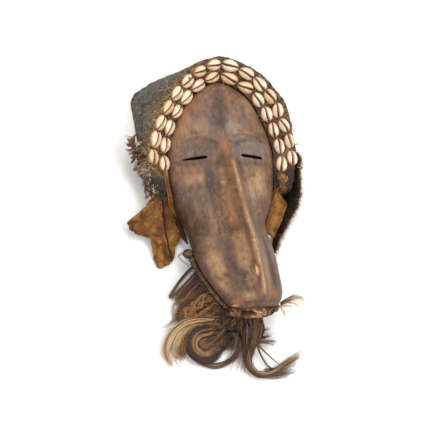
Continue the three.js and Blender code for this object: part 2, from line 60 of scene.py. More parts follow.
# Below the eyes: v, half width, side edge, rounded crown, nose crest, nose half width.
FACE_STATIONS = np.array([
    (0, 74, 0, 24, 29, 13),
    (-12, 74, 0, 26, 42, 17),
    (-35, 72, 0, 32, 54, 20),
    (-57, 67.5, 0, 38, 63, 22),
    (-75, 61.5, 0, 45, 72, 24),
    (-90, 55.5, 2, 54, 79, 26),
    (-105, 55, 12, 63, 87, 27),
    (-124, 55.5, 25, 73, 95, 27),
    (-143, 54, 37, 83, 103, 26),
    (-162, 50, 49, 91, 109, 23),
    (-178, 44.5, 59, 97, 111, 17),
    (-188, 39, 65, 97, 107, 12),
    (-195, 33, 70, 87, 90, 8),
], dtype=float)
HALF, EDGE, CROWN, CREST, NOSE = range(1, 6)
BEAK_TIP = -195.0
BEAK_UNDERCUT = 0.72

# The hood and its cowrie band.
CLOTH = 3.0
SEAM_GAP = 2.0
HEM = -45.0
BAND_OUTER_HALF = 104.0
BAND_OUTER_TOP = 128.0
HEM_OUTER_HALF = 94.5
BAND_INNER_HALF = FACE_HALF_WIDTH + SEAM_GAP
BAND_WIDTH = BAND_OUTER_HALF - BAND_INNER_HALF
BAND_SHIFT = 2.5
BAND_INNER_FRONT = 2.5
BAND_OUTER_FRONT = 7.0
BAND_INNER_SWELL = 1.0
BAND_OUTER_SWELL = 10.0
COWRIE_LENGTH = 20.6
COWRIE_WIDTH = 14.2
COWRIE_HEIGHT = 7.4
COWRIE_CLEARANCE = 1.2
OUTER_ROW = ("cowrie_outer", 16, 96.6, 120.5, -1.0)
INNER_ROW = ("cowrie_inner", 14, 81.8, 106.4, -9.0)
DRILLED_SHELL = "cowrie_outer_6"
TOOTH_PITCH = 1.25
COWRIE_GRID = (36, 30)
THREAD_ROW = (96.0, 120.0, -14.0)
LEATHER_THICKNESS = 1.8


# Numbers and noise

def smooth(x, start, end):
    t = np.clip((x - start) / (end - start), 0, 1)
    return t * t * (3 - 2 * t)


def between(x, start, full, fade, end):
    """Rises from start to full and falls from fade to end."""
    return smooth(x, start, full) * (1 - smooth(x, fade, end))


def bump(x, centre, width):
    return np.exp(-(((x - centre) / width) ** 2))


def highest(*masks):
    """The largest of several masks at each point."""
    top = masks[0]
    for mask in masks[1:]:
        top = np.maximum(top, mask)
    return top


def unit(vectors):
    length = np.linalg.norm(vectors, axis=-1, keepdims=True)
    return vectors / np.maximum(length, 1e-9)


def hashed(cell, seed):
    """A repeatable random number from 0 to 1 for each whole-number cell."""
    mixed = (
        cell[..., 0].astype(np.uint64) * np.uint64(73856093)
        ^ cell[..., 1].astype(np.uint64) * np.uint64(19349663)
        ^ cell[..., 2].astype(np.uint64) * np.uint64(83492791)
        ^ np.uint64(seed * 2654435761 % 2**32)
    )
    mixed = (mixed ^ (mixed >> np.uint64(13))) * np.uint64(1274126177)
    mixed = mixed ^ (mixed >> np.uint64(16))
    return (mixed & np.uint64(0xFFFFF)).astype(float) / 0xFFFFF


def noise(points, size, seed, octaves=1):
    """Smooth noise from -1 to 1, with its largest lumps about size millimetres across."""
    total, reach, weight = 0.0, 0.0, 1.0
    for octave in range(octaves):
        scaled = np.asarray(points, float) / size * 2**octave + 4096.0
        cell = np.floor(scaled).astype(np.int64)
        part = scaled - cell
        part = part * part * (3 - 2 * part)
        value = 0.0
        for corner in np.ndindex(2, 2, 2):
            shift = np.array(corner)
            share = np.prod(np.where(shift == 1, part, 1 - part), axis=-1)
            value = value + share * hashed(cell + shift, seed + octave)
        total = total + weight * (2 * value - 1)
        reach += weight
        weight *= 0.5
    return total / reach


def lengths(line):
    """How far along the line each of its points is."""
    return np.r_[0, np.cumsum(np.linalg.norm(np.diff(line, axis=0), axis=1))]


def at_lengths(line, steps, goals):
    """The points of a line that lie at the given lengths along it."""
    return np.stack([np.interp(goals, steps, values) for values in line.T], axis=1)


def side_axes(along):
    """Two directions square to each direction along a line."""
    one = unit(np.cross(along, (0.0, 0.0, 1.0)))
    return one, np.cross(along, one)


def catmull(points, count):
    """A smooth curve through points, in even steps of length."""
    points = np.asarray(points, float)
    padded = np.vstack([2 * points[0] - points[1], points, 2 * points[-1] - points[-2]])
    fine = []
    for k in range(1, len(padded) - 2):
        a, b, c, d = padded[k - 1:k + 3]
        t = np.linspace(0, 1, 24, endpoint=False)[:, None]
        fine.append(0.5 * (2 * b + (c - a) * t + (2 * a - 5 * b + 4 * c - d) * t**2
                           + (3 * b - a - 3 * c + d) * t**3))
    fine = np.vstack([*fine, padded[-2:-1]])
    steps = lengths(fine)
    return at_lengths(fine, steps, np.linspace(0, steps[-1], count))


def resample(net, rows, columns):
    """A finer grid through a coarse net of points, smooth both ways."""
    across = np.stack([catmull(line, columns) for line in net])
    return np.stack([catmull(across[:, j], rows) for j in range(columns)], axis=1)


def laid(u, v, w):
    """A point of the mask's own frame, as the mask lies on the table."""
    y = v * math.cos(REST_TILT) - w * math.sin(REST_TILT)
    z = v * math.sin(REST_TILT) + w * math.cos(REST_TILT) + EYE_LINE_HEIGHT
    return np.stack(np.broadcast_arrays(u, y, z), axis=-1)


def lying(u, v, w):
    """As laid, with the carver's unevenness: one side fuller at the top, the beak drawn in."""
    u, v = np.asarray(u, float), np.asarray(v, float)
    fuller = 5.0 * smooth(v, 42, 85) * smooth(u, -8, 42)
    right_tip = 6.5 * smooth(-v, 122, 188) * smooth(-u, 0, 38)
    left_flank = -4.2 * smooth(-v, 60, 98) * (1 - smooth(-v, 148, 188)) * smooth(u, 0, 45)
    return laid(u + fuller + right_tip + left_flank, v, w)


# The face

def station(key, v):
    line, values = FACE_STATIONS[:, 0], FACE_STATIONS[:, key]
    last = len(line) - 1
    a = np.clip(np.searchsorted(-line, -v, side="right") - 1, 0, last - 1)
    b = a + 1
    before, after = np.clip(a - 1, 0, last), np.clip(a + 2, 0, last)

    def slope(low, high):
        run = line[high] - line[low]
        return (values[high] - values[low]) / np.where(run == 0, 1, run)

    span = line[b] - line[a]
    t = (v - line[a]) / span
    start, end = slope(before, b) * span, slope(a, after) * span
    cubic = (2 * t**3 - 3 * t**2 + 1) * values[a] + (t**3 - 2 * t**2 + t) * start
    return cubic + (3 * t**2 - 2 * t**3) * values[b] + (t**3 - t**2) * end


def half_width(v):
    above = 1 - (np.maximum(v, 0) / FOREHEAD_LENGTH) ** OUTLINE_POWER
    forehead = FACE_HALF_WIDTH * np.maximum(0, above) ** (1 / OUTLINE_POWER)
    return np.where(v > 0, forehead, station(HALF, np.minimum(v, 0)))


def crown(v):
    above = np.maximum(0, 1 - (np.maximum(v, 0) / FOREHEAD_LENGTH) ** 3)
    return np.where(v > 0, FOREHEAD_HEIGHT * np.sqrt(above), station(CROWN, np.minimum(v, 0)))


def edge(v):
    return np.where(v > 0, 0, station(EDGE, np.minimum(v, 0)))


def nose_rise(v):
    low = np.minimum(v, 0)
    below = station(CREST, low) - station(CROWN, low)
    return np.maximum(0, np.where(v > 0, 5 * (1 - smooth(v, 0, 24)), below))


def nose_half(v):
    return np.where(v > 0, 13, station(NOSE, np.minimum(v, 0)))


def eye_relief(u, v):
    side = np.abs(u)
    brow = 15 + 9 * np.sin(np.pi * np.clip((side - 6) / 58, 0, 1))
    reach = between(side, 6, 22, 56, 72)
    depth = np.where(u > 0, 6.5, 4.0)
    socket = -depth * reach * (1 - smooth(v, brow - 7, brow + 1)) * smooth(v, -28, 4)
    return socket + 2 * reach * bump(v, -2, 9)


def face_height(u, v):
    s = np.minimum(1, np.abs(u) / np.maximum(half_width(v), 0.1))
    arch = (1 - s**ARCH_POWER) ** ARCH_ROUNDNESS
    nose = nose_rise(v) * np.maximum(0, 1 - np.abs(u) / nose_half(v)) ** CREST_SHARPNESS
    return edge(v) + (crown(v) - edge(v)) * arch + nose + eye_relief(u, v) * arch


def under_half(v):
    """How wide the wood is behind its edge: the beak narrows towards its underside."""
    return half_width(v) * (1 + (BEAK_UNDERCUT - 1) * smooth(-v, 84, 100))


def edge_at(v):
    """Half width and edge height at one place along the mask, as plain numbers."""
    return float(half_width(np.array(v))), float(edge(np.array(v)))


def brow_line(u):
    """How high the carved brow runs above each eye."""
    side = np.clip((np.abs(u) - np.where(np.asarray(u) > 0, -2, 2)) / 62, 0, 1)
    low = 16 + 10 * np.sin(np.pi * side**0.85) - 4 * side
    high = 16 + 11.2 * np.sin(np.pi * side**0.8) + 2.2 * side
    return np.where(np.asarray(u) > 0, high, low)


def carving(u, v):
    """Knife work finer than the frame's relief: brow ridge, lids, forehead ridge, dents."""
    points = np.stack(np.broadcast_arrays(u, v, 0 * u), axis=-1)
    side = np.abs(u)
    over_eye = between(side, 3, 12, 56, 68)
    depth = np.where(u > 0, 0.85, 0.12)
    above = v - brow_line(u)
    ridge = 1.3 * depth * over_eye * bump(above, 1.2, 2.6)
    groove = -1.5 * depth * over_eye * bump(above, -3.2, 2.4)
    lid = 1.5 * over_eye * bump(v, 7, 7.5) * depth
    spine = 0.9 * bump(u, 0, 5) * between(v, 4, 30, 75, 95)
    foot = -1.3 * bump(side - nose_half(v), 1.0, 2.8) * between(v, -190, -175, -12, 2)
    knife = 0.28 * noise(points * (1.0, 0.35, 1), 9, 11) + 0.5 * noise(points, 38, 12)
    chip = -1.4 * bump(u, -4.2, 1.1) * between(v, -172, -168, -150, -147)
    uneven = smooth(noise(points * (0.2, 1, 1), 11, 13), 0.1, 0.7)
    worn = -0.8 * bump(u, -1.5, 1.6) * uneven * (1 - smooth(v, -30, -20))
    nicks = -0.7 * smooth(noise(points, 5, 14), 0.62, 0.9)
    tip_crease = -1.2 * bump(v, -186, 2.2) * (1 - smooth(side, 18, 30))
    return ridge + groove + lid + spine + foot + knife + chip + worn + nicks + tip_crease


# Making meshes

def build(name, points, faces, material, masks=None):
    """A mesh object from points in millimetres and arrays of quads or triangles."""
    points = np.array(points, float).reshape(-1, 3)
    points[:, 2] = np.maximum(points[:, 2], 0)
    faces = [np.asarray(f, np.int32) for f in faces if len(f)]
    mesh = bpy.data.meshes.new(name)
    mesh.vertices.add(len(points))
    mesh.vertices.foreach_set("co", (points * MM).astype(np.float32).ravel())
    corners = np.concatenate([f.ravel() for f in faces])
    sizes = np.concatenate([np.full(len(f), f.shape[1]) for f in faces])
    mesh.loops.add(len(corners))
    mesh.loops.foreach_set("vertex_index", corners)
    mesh.polygons.add(len(sizes))
    mesh.polygons.foreach_set("loop_start", np.r_[0, np.cumsum(sizes)[:-1]].astype(np.int32))
    mesh.polygons.foreach_set("use_smooth", np.ones(len(sizes), bool))
    for key, values in (masks or {}).items():
        values = np.asarray(values, np.float32)
        kind = "FLOAT_VECTOR" if values.size == 3 * len(points) else "FLOAT"
        layer = mesh.attributes.new(key, kind, "POINT")
        layer.data.foreach_set("vector" if kind == "FLOAT_VECTOR" else "value", values.ravel())
    mesh.update(calc_edges=True)
    mesh.validate()
    piece = bpy.data.objects.new(name, mesh)
    bpy.context.scene.collection.objects.link(piece)
    mesh.materials.append(material)
    return piece


def grid_faces(rows, columns, closed=False):
    """Quads of a grid of points; closed joins each row's end to its start."""
    i = np.arange(rows - 1)[:, None]
    j = np.arange(columns if closed else columns - 1)[None, :]
    following = (j + 1) % columns
    corners = (i * columns + j, i * columns + following, (i + 1) * columns + following, (i + 1) * columns + j)
    return np.stack([np.broadcast_to(c, (rows - 1, j.size)) for c in corners], axis=-1).reshape(-1, 4)


def border_of(rows, columns):
    """The indices of a grid's border points, in order round it."""
    index = np.arange(rows * columns).reshape(rows, columns)
    return np.concatenate([index[0], index[1:, -1], index[-1, -2::-1], index[-2:0:-1, 0]])


def grid_normals(grid):
    along = np.gradient(grid, axis=0)
    across = np.gradient(grid, axis=1)
    return unit(np.cross(along, across))


def thick_sheet(name, grid, thickness, material, masks):
    """A closed sheet: the grid is its face, and its back lies thickness behind it."""
    rows, columns = grid.shape[:2]
    back = grid - grid_normals(grid) * np.reshape(thickness, (*np.shape(thickness), 1))
    points = np.concatenate([grid.reshape(-1, 3), back.reshape(-1, 3)])
    face = grid_faces(rows, columns)
    skip = rows * columns
    border = border_of(rows, columns)
    following = np.roll(border, -1)
    rim = np.stack([border, border + skip, following + skip, following], axis=1)
    doubled = {key: np.tile(values.ravel(), 2) for key, values in masks.items()}
    return build(name, points, [face, face[:, ::-1] + skip, rim], material, doubled)


def tubes(paths, radii, sides=3, squash=1.0):
    """Points, faces and, for each point, its place along and its strand, of tubes along paths.

    A squash under 1 makes them flat blades.
    """
    count, steps = paths.shape[:2]
    along = unit(np.gradient(paths, axis=1))
    helper = np.where(np.abs(along[..., 2:3]) < 0.8, (0.0, 0.0, 1.0), (1.0, 0.0, 0.0))
    one = unit(np.cross(along, helper))
    two = np.cross(along, one)
    turn = 2 * np.pi * np.arange(sides) / sides
    ring = one[:, :, None] * np.cos(turn)[:, None] + two[:, :, None] * (squash * np.sin(turn))[:, None]
    points = paths[:, :, None] + ring * radii[:, :, None, None]
    face = grid_faces(steps, sides, closed=True)
    stride = steps * sides
    shifts = (np.arange(count) * stride)[:, None, None]
    quads = (face[None] + shifts).reshape(-1, 4)
    first = np.arange(sides)[::-1]
    ends = np.stack([first, np.arange(sides) + stride - sides])
    caps = (ends[None] + shifts).reshape(-1, sides)
    place = np.broadcast_to(np.linspace(0, 1, steps)[None, :, None], (count, steps, sides)).ravel()
    strand = np.repeat(np.arange(count), stride)
    return points.reshape(-1, 3), [quads, caps], place, strand


def joined(parts):
    """One list of points and faces from several."""
    points, faces, start = [], [], 0
    for part_points, part_faces in parts:
        points.append(part_points)
        faces += [f + start for f in part_faces]
        start += len(part_points)
    return np.concatenate(points), faces


# Materials

class Paint:
    """A material's node tree, with short calls for the nodes that these surfaces share."""

    def __init__(self, name, roughness=0.6):
        self.material = bpy.data.materials.new(name)
        self.material.use_nodes = True
        self.tree = self.material.node_tree
        self.shader = self.tree.nodes["Principled BSDF"]
        self.shader.inputs["Roughness"].default_value = roughness
        self.place = self.node("ShaderNodeTexCoord").outputs["Object"]

    def node(self, kind, **settings):
        made = self.tree.nodes.new(kind)
        for key, value in settings.items():
            setattr(made, key, value)
        return made

    def feed(self, socket, value):
        if isinstance(value, bpy.types.NodeSocket):
            self.tree.links.new(value, socket)
        else:
            socket.default_value = value

    def read(self, name):
        """A value that the mesh carries at each point."""
        return self.node("ShaderNodeAttribute", attribute_name=name).outputs["Fac"]

    def vector(self, name):
        return self.node("ShaderNodeAttribute", attribute_name=name).outputs["Vector"]

    def stretch(self, vector, scale):
        node = self.node("ShaderNodeMapping")
        self.feed(node.inputs["Vector"], vector)
        node.inputs["Scale"].default_value = scale
        return node.outputs["Vector"]

    def noise(self, scale, detail, roughness, vector=None, distortion=0.0):
        node = self.node("ShaderNodeTexNoise")
        self.feed(node.inputs["Vector"], self.place if vector is None else vector)
        node.inputs["Scale"].default_value = scale
        node.inputs["Detail"].default_value = detail
        node.inputs["Roughness"].default_value = roughness
        node.inputs["Distortion"].default_value = distortion
        return node.outputs["Fac"]

    def cells(self, scale):
        node = self.node("ShaderNodeTexVoronoi")
        self.feed(node.inputs["Vector"], self.place)
        node.inputs["Scale"].default_value = scale
        return node.outputs["Distance"]

    def ramp(self, value, *stops):
        """Colours or greys by value: stops are (place, colour)."""
        node = self.node("ShaderNodeValToRGB")
        elements = node.color_ramp.elements
        while len(elements) < len(stops):
            elements.new(0.5)
        for element, (place, colour) in zip(elements, stops):
            element.position = place
            grey = isinstance(colour, (int, float))
            element.color = (colour, colour, colour, 1) if grey else (*colour, 1)
        self.feed(node.inputs["Fac"], value)
        return node.outputs["Color"]

    def mix(self, share, one, two):
        node = self.node("ShaderNodeMix", data_type="RGBA")
        self.feed(node.inputs["Factor"], share)
        for socket, value in ((node.inputs[6], one), (node.inputs[7], two)):
            self.feed(socket, (*value, 1) if isinstance(value, tuple) else value)
        return node.outputs[2]

    def times(self, value, factor):
        node = self.node("ShaderNodeMath", operation="MULTIPLY")
        self.feed(node.inputs[0], value)
        node.inputs[1].default_value = factor
        return node.outputs["Value"]

    def coats(self, base, *rows):
        """Colours laid over base in turn: a share or a mask's name, a colour, and the share's ramp stops."""
        for share, colour, *stops in rows:
            share = self.read(share) if isinstance(share, str) else share
            base = self.mix(self.ramp(share, *stops) if stops else share, base, colour)
        return base

    def relief(self, height, strength, distance, under=None):
        node = self.node("ShaderNodeBump")
        node.inputs["Strength"].default_value = strength
        node.inputs["Distance"].default_value = distance
        self.feed(node.inputs["Height"], height)
        if under is not None:
            self.feed(node.inputs["Normal"], under)
        return node.outputs["Normal"]

    def finish(self, colour, roughness=None, normal=None):
        self.feed(self.shader.inputs["Base Color"], colour)
        if roughness is not None:
            self.feed(self.shader.inputs["Roughness"], roughness)
        if normal is not None:
            self.feed(self.shader.inputs["Normal"], normal)
        return self.material


def srgb(red, green, blue):
    """A linear colour from 0 to 255 screen values."""
    return tuple(
        c / 12.92 if c <= 0.04045 else ((c + 0.055) / 1.055) ** 2.4
        for c in (red / 255, green / 255, blue / 255)
    )


def wood_material():
    paint = Paint("carved_wood", 0.5)
    grain_place = paint.vector("grain")
    long_grain = paint.stretch(grain_place, (1.0, 0.10, 0.6))
    fine_grain = paint.stretch(grain_place, (3.0, 0.16, 2.0))
    broad = paint.noise(0.028, 3, 0.5, grain_place)
    streak = paint.noise(0.16, 6, 0.62, long_grain, 0.6)
    fine = paint.noise(0.55, 4, 0.6, fine_grain, 0.3)
    cloud = paint.noise(0.075, 5, 0.6, grain_place, 0.8)
    speck = paint.noise(0.9, 5, 0.7, grain_place)
    patch = paint.noise(0.21, 5, 0.65, paint.stretch(grain_place, (1.2, 0.6, 1.0)), 0.5)
    murk = paint.noise(0.055, 6, 0.65, paint.stretch(grain_place, (1.3, 0.8, 1.0)), 1.2)
    base = paint.coats(
        paint.ramp(broad, (0.34, srgb(82, 56, 40)), (0.5, srgb(101, 72, 49)), (0.66, srgb(116, 83, 56))),
        (cloud, srgb(134, 100, 70), (0.47, 0.0), (0.62, 0.7)),
        (murk, srgb(68, 50, 43), (0.50, 0.0), (0.62, 0.75)),
        (paint.times(paint.read("violet"), 0.85), srgb(84, 66, 59)),
        ("ash", srgb(136, 124, 113)),
        ("pale", srgb(166, 129, 91)),
        ("rust", srgb(148, 90, 50)),
        ("dark", srgb(46, 29, 22)),
        (streak, srgb(70, 48, 38), (0.36, 0.42), (0.52, 0.0)),
        (streak, srgb(160, 124, 92), (0.56, 0.0), (0.74, 0.14)),
        (fine, srgb(58, 40, 32), (0.33, 0.3), (0.52, 0.0)),
        (patch, srgb(56, 40, 34), (0.36, 0.42), (0.47, 0.0)),
        (patch, srgb(168, 130, 94), (0.52, 0.0), (0.76, 0.2)),
        (speck, srgb(178, 148, 116), (0.60, 0.0), (0.72, 0.25)),
        # Painted shade round the open eye slits.
        ("soot", srgb(22, 15, 12)),
        ("chip", srgb(214, 160, 104)),
    )
    gloss = paint.ramp(cloud, (0.35, 0.42), (0.7, 0.62))
    low = paint.relief(streak, 0.25, 0.0008)
    normal = paint.relief(fine, 0.35, 0.0004, paint.relief(murk, 0.3, 0.0020, low))
    paint.shader.inputs["Specular IOR Level"].default_value = 0.36
    return paint.finish(base, gloss, normal)


def cloth_material():
    paint = Paint("hood_cloth", 0.92)
    mottle = paint.noise(150, 6, 0.7, distortion=0.3)
    patch = paint.noise(22, 3, 0.5)
    blue = paint.noise(30, 5, 0.6, distortion=0.8)
    fibre_place = paint.stretch(paint.place, (1.0, 0.35, 1.0))
    fibre = paint.noise(420, 5, 0.7, fibre_place, 1.5)
    threads = paint.ramp(fibre, (0.38, 0.0), (0.62, 1.0))
    colour = paint.coats(
        paint.ramp(mottle, (0.38, srgb(14, 13, 13)), (0.5, srgb(44, 40, 35)), (0.64, srgb(104, 90, 68))),
        (patch, srgb(76, 56, 36), (0.45, 0.0), (0.62, 0.4)),
        (blue, srgb(48, 53, 58), (0.46, 0.0), (0.66, 0.5)),
        (fibre, srgb(160, 132, 94), (0.55, 0.0), (0.68, 0.7)),
        (fibre, srgb(24, 22, 22), (0.38, 0.9), (0.44, 0.0)),
        ("band", paint.mix(threads, srgb(22, 13, 8), srgb(96, 62, 34))),
        ("dust", paint.mix(threads, srgb(44, 32, 21), srgb(160, 124, 80))),
        # Painted shade on the hood's lower sides.
        ("worn", paint.mix(threads, srgb(12, 9, 8), srgb(58, 42, 30))),
    )
    low = paint.relief(mottle, 0.5, 0.0018)
    normal = paint.relief(fibre, 0.5, 0.0009, paint.relief(paint.cells(900), 0.35, 0.0005, low))
    paint.shader.inputs["Sheen Weight"].default_value = 0.05
    return paint.finish(colour, normal=normal)


def shell_material():
    paint = Paint("cowrie_shell", 0.3)
    spot = paint.noise(160, 4, 0.6)
    blush = paint.noise(45, 2, 0.5)
    bone, ivory, cream = srgb(188, 160, 134), srgb(220, 198, 174), srgb(236, 218, 198)
    colour = paint.coats(
        paint.ramp(spot, (0.34, bone), (0.52, ivory), (0.70, cream)),
        (blush, srgb(208, 176, 150), (0.46, 0.0), (0.68, 0.4)),
        ("tan", srgb(192, 156, 114)),
        # Darker tan along the slit's lips, and painted shade round each shell's outline and in its slit.
        ("lip", srgb(150, 108, 68)),
        ("slit", srgb(34, 20, 12)),
    )
    return paint.finish(colour, paint.ramp(spot, (0.3, 0.42), (0.7, 0.28)), paint.relief(spot, 0.12, 0.0005))


def leather_material(name, dark, middle, light, roughness=0.7):
    paint = Paint(name, roughness)
    patch = paint.noise(38, 5, 0.6, distortion=0.5)
    stain = paint.noise(95, 5, 0.7)
    mottle = paint.noise(330, 5, 0.65, distortion=0.4)
    colour = paint.coats(
        paint.ramp(patch, (0.33, dark), (0.5, middle), (0.68, light)),
        (mottle, dark, (0.40, 0.55), (0.52, 0.0)),
        (stain, dark, (0.5, 0.0), (0.7, 0.5)),
        ("shade", (0.42 * dark[0], 0.30 * dark[1], 0.15 * dark[2])),
        # Painted highlights on ridges, folds and creases, and paler edges, in the leather's light colour.
        ("glow", light),
    )
    low = paint.relief(patch, 0.35, 0.0012)
    normal = paint.relief(paint.cells(620), 0.35, 0.0004, paint.relief(mottle, 0.45, 0.0007, low))
    paint.shader.inputs["Specular IOR Level"].default_value = 0.12
    return paint.finish(colour, paint.ramp(stain, (0.3, roughness - 0.15), (0.7, roughness + 0.12)), normal)


def darker(colour):
    return tuple(0.3 * c for c in colour)


def hair_material(name, root, middle, tip):
    paint = Paint(name, 0.45)
    tint = paint.read("tint")
    fleck = paint.noise(300, 3, 0.6)
    colour = paint.coats(
        paint.ramp(paint.read("place"), (0.0, root), (0.45, middle), (1.0, tip)),
        (tint, darker(root), (0.0, 0.85), (0.55, 0.0)),
        (tint, tip, (0.6, 0.0), (1.0, 0.8)),
        (fleck, middle, (0.45, 0.0), (0.75, 0.35)),
    )
    return paint.finish(colour, paint.ramp(tint, (0.0, 0.38), (1.0, 0.55)), paint.relief(fleck, 0.1, 0.0002))


def fibre_material(name, dark, light):
    paint = Paint(name, 0.85)
    strand = paint.noise(240, 5, 0.65, distortion=0.6)
    colour = paint.ramp(strand, (0.35, dark), (0.65, light))
    colour = paint.coats(colour, ("tint", darker(dark), (0.0, 0.95), (0.6, 0.0)))
    return paint.finish(colour, normal=paint.relief(strand, 0.4, 0.0006))


def feather_material():
    paint = Paint("feathers", 0.75)
    barbs = paint.noise(500, 4, 0.6)
    colour = paint.coats(
        paint.mix(paint.read("tint"), srgb(56, 40, 32), srgb(226, 214, 196)),
        ("rust", srgb(122, 72, 44)),
        (barbs, srgb(50, 38, 34), (0.4, 0.45), (0.62, 0.0)),
    )
    return paint.finish(colour, normal=paint.relief(barbs, 0.3, 0.0003))


WOOD = wood_material()
HOOD_CLOTH = cloth_material()
SHELL = shell_material()
TAN_LEATHER = leather_material("tan_leather", srgb(72, 42, 18), srgb(122, 80, 38), srgb(164, 116, 62))
BINDING = leather_material("binding_leather", srgb(48, 30, 20), srgb(112, 78, 53), srgb(186, 142, 100), 0.6)
HIDE = leather_material("dark_hide", srgb(12, 7, 4), srgb(24, 15, 9), srgb(52, 35, 23), 0.85)
GOLD_BROWN_HAIR = hair_material("gold_brown_hair", srgb(70, 46, 36), srgb(122, 84, 58), srgb(178, 136, 94))
DARK_HAIR = hair_material("dark_hair", srgb(38, 25, 27), srgb(72, 49, 42), srgb(136, 100, 68))
BROWN_HAIR = hair_material("brown_hair", srgb(58, 36, 24), srgb(118, 78, 46), srgb(172, 124, 74))
GOLD_HAIR = hair_material("gold_hair", srgb(74, 50, 34), srgb(168, 130, 84), srgb(224, 194, 148))
RAFFIA = fibre_material("raffia", srgb(116, 82, 46), srgb(212, 172, 118))
CORD = fibre_material("twisted_fibre", srgb(92, 54, 24), srgb(188, 134, 76))
DARK_CORD = fibre_material("dark_fibre", srgb(40, 28, 20), srgb(116, 88, 60))
FEATHERS = feather_material()


# The carved wood

SLIT_LINE = -3.5
SLIT_CENTRES = (42.0, 36.5)
SLIT_HALF = 16.0
SLIT_OPENINGS = (2.3, 3.2)
OPEN_SLIT = 0.05
BACK_DARKNESS = 0.45
FACE_COLUMNS = 106
FACE_ROWS = 236
SIDE_COLUMNS = 4


def slit_place(u):
    """Where the slit's middle line runs, and how far its edges stand apart."""
    side = np.abs(u)
    centre = np.where(u > 0, SLIT_CENTRES[1], SLIT_CENTRES[0])
    droop = -(side - centre) * math.tan(math.radians(6))
    lift = np.where(u > 0, 1.6, -1.2)
    near = between(side, 8, 20, 60, 72)
    along = np.clip(np.abs(side - centre) / SLIT_HALF, 0, 1)
    left = SLIT_OPENINGS[1] + 0.5 * noise(np.stack([u, 0 * u, 0 * u], axis=-1), 3.5, 15)
    right = SLIT_OPENINGS[0] * (1.25 - 0.6 * (side - centre) / SLIT_HALF)
    apart = np.where(u > 0, left, right) * np.maximum(0, 1 - along**np.where(u > 0, 7, 3)) ** 0.6
    return (droop + lift) * near, apart


def back_height(u, v, half):
    """The mask's hidden side: a rim all round, hollow behind the face, solid behind the beak."""
    rim = edge(v) - RIM_DEPTH
    s = np.minimum(1, np.abs(u) / np.maximum(half - WALL, 1))
    roof = edge(v) + np.maximum(0, crown(v) - WALL - edge(v)) * (1 - s**ARCH_POWER) ** ARCH_ROUNDNESS
    inside = (1 - smooth(np.abs(u), half - WALL - 1, half - WALL + 1)) * smooth(v, -75, -73)
    inside = inside * (1 - smooth(v, FOREHEAD_LENGTH - 14, FOREHEAD_LENGTH - 11))
    gouge = 0.5 * noise(np.stack([u, v, 0 * u], axis=-1), 7, 21)
    return rim + (roof - rim) * inside + gouge * inside


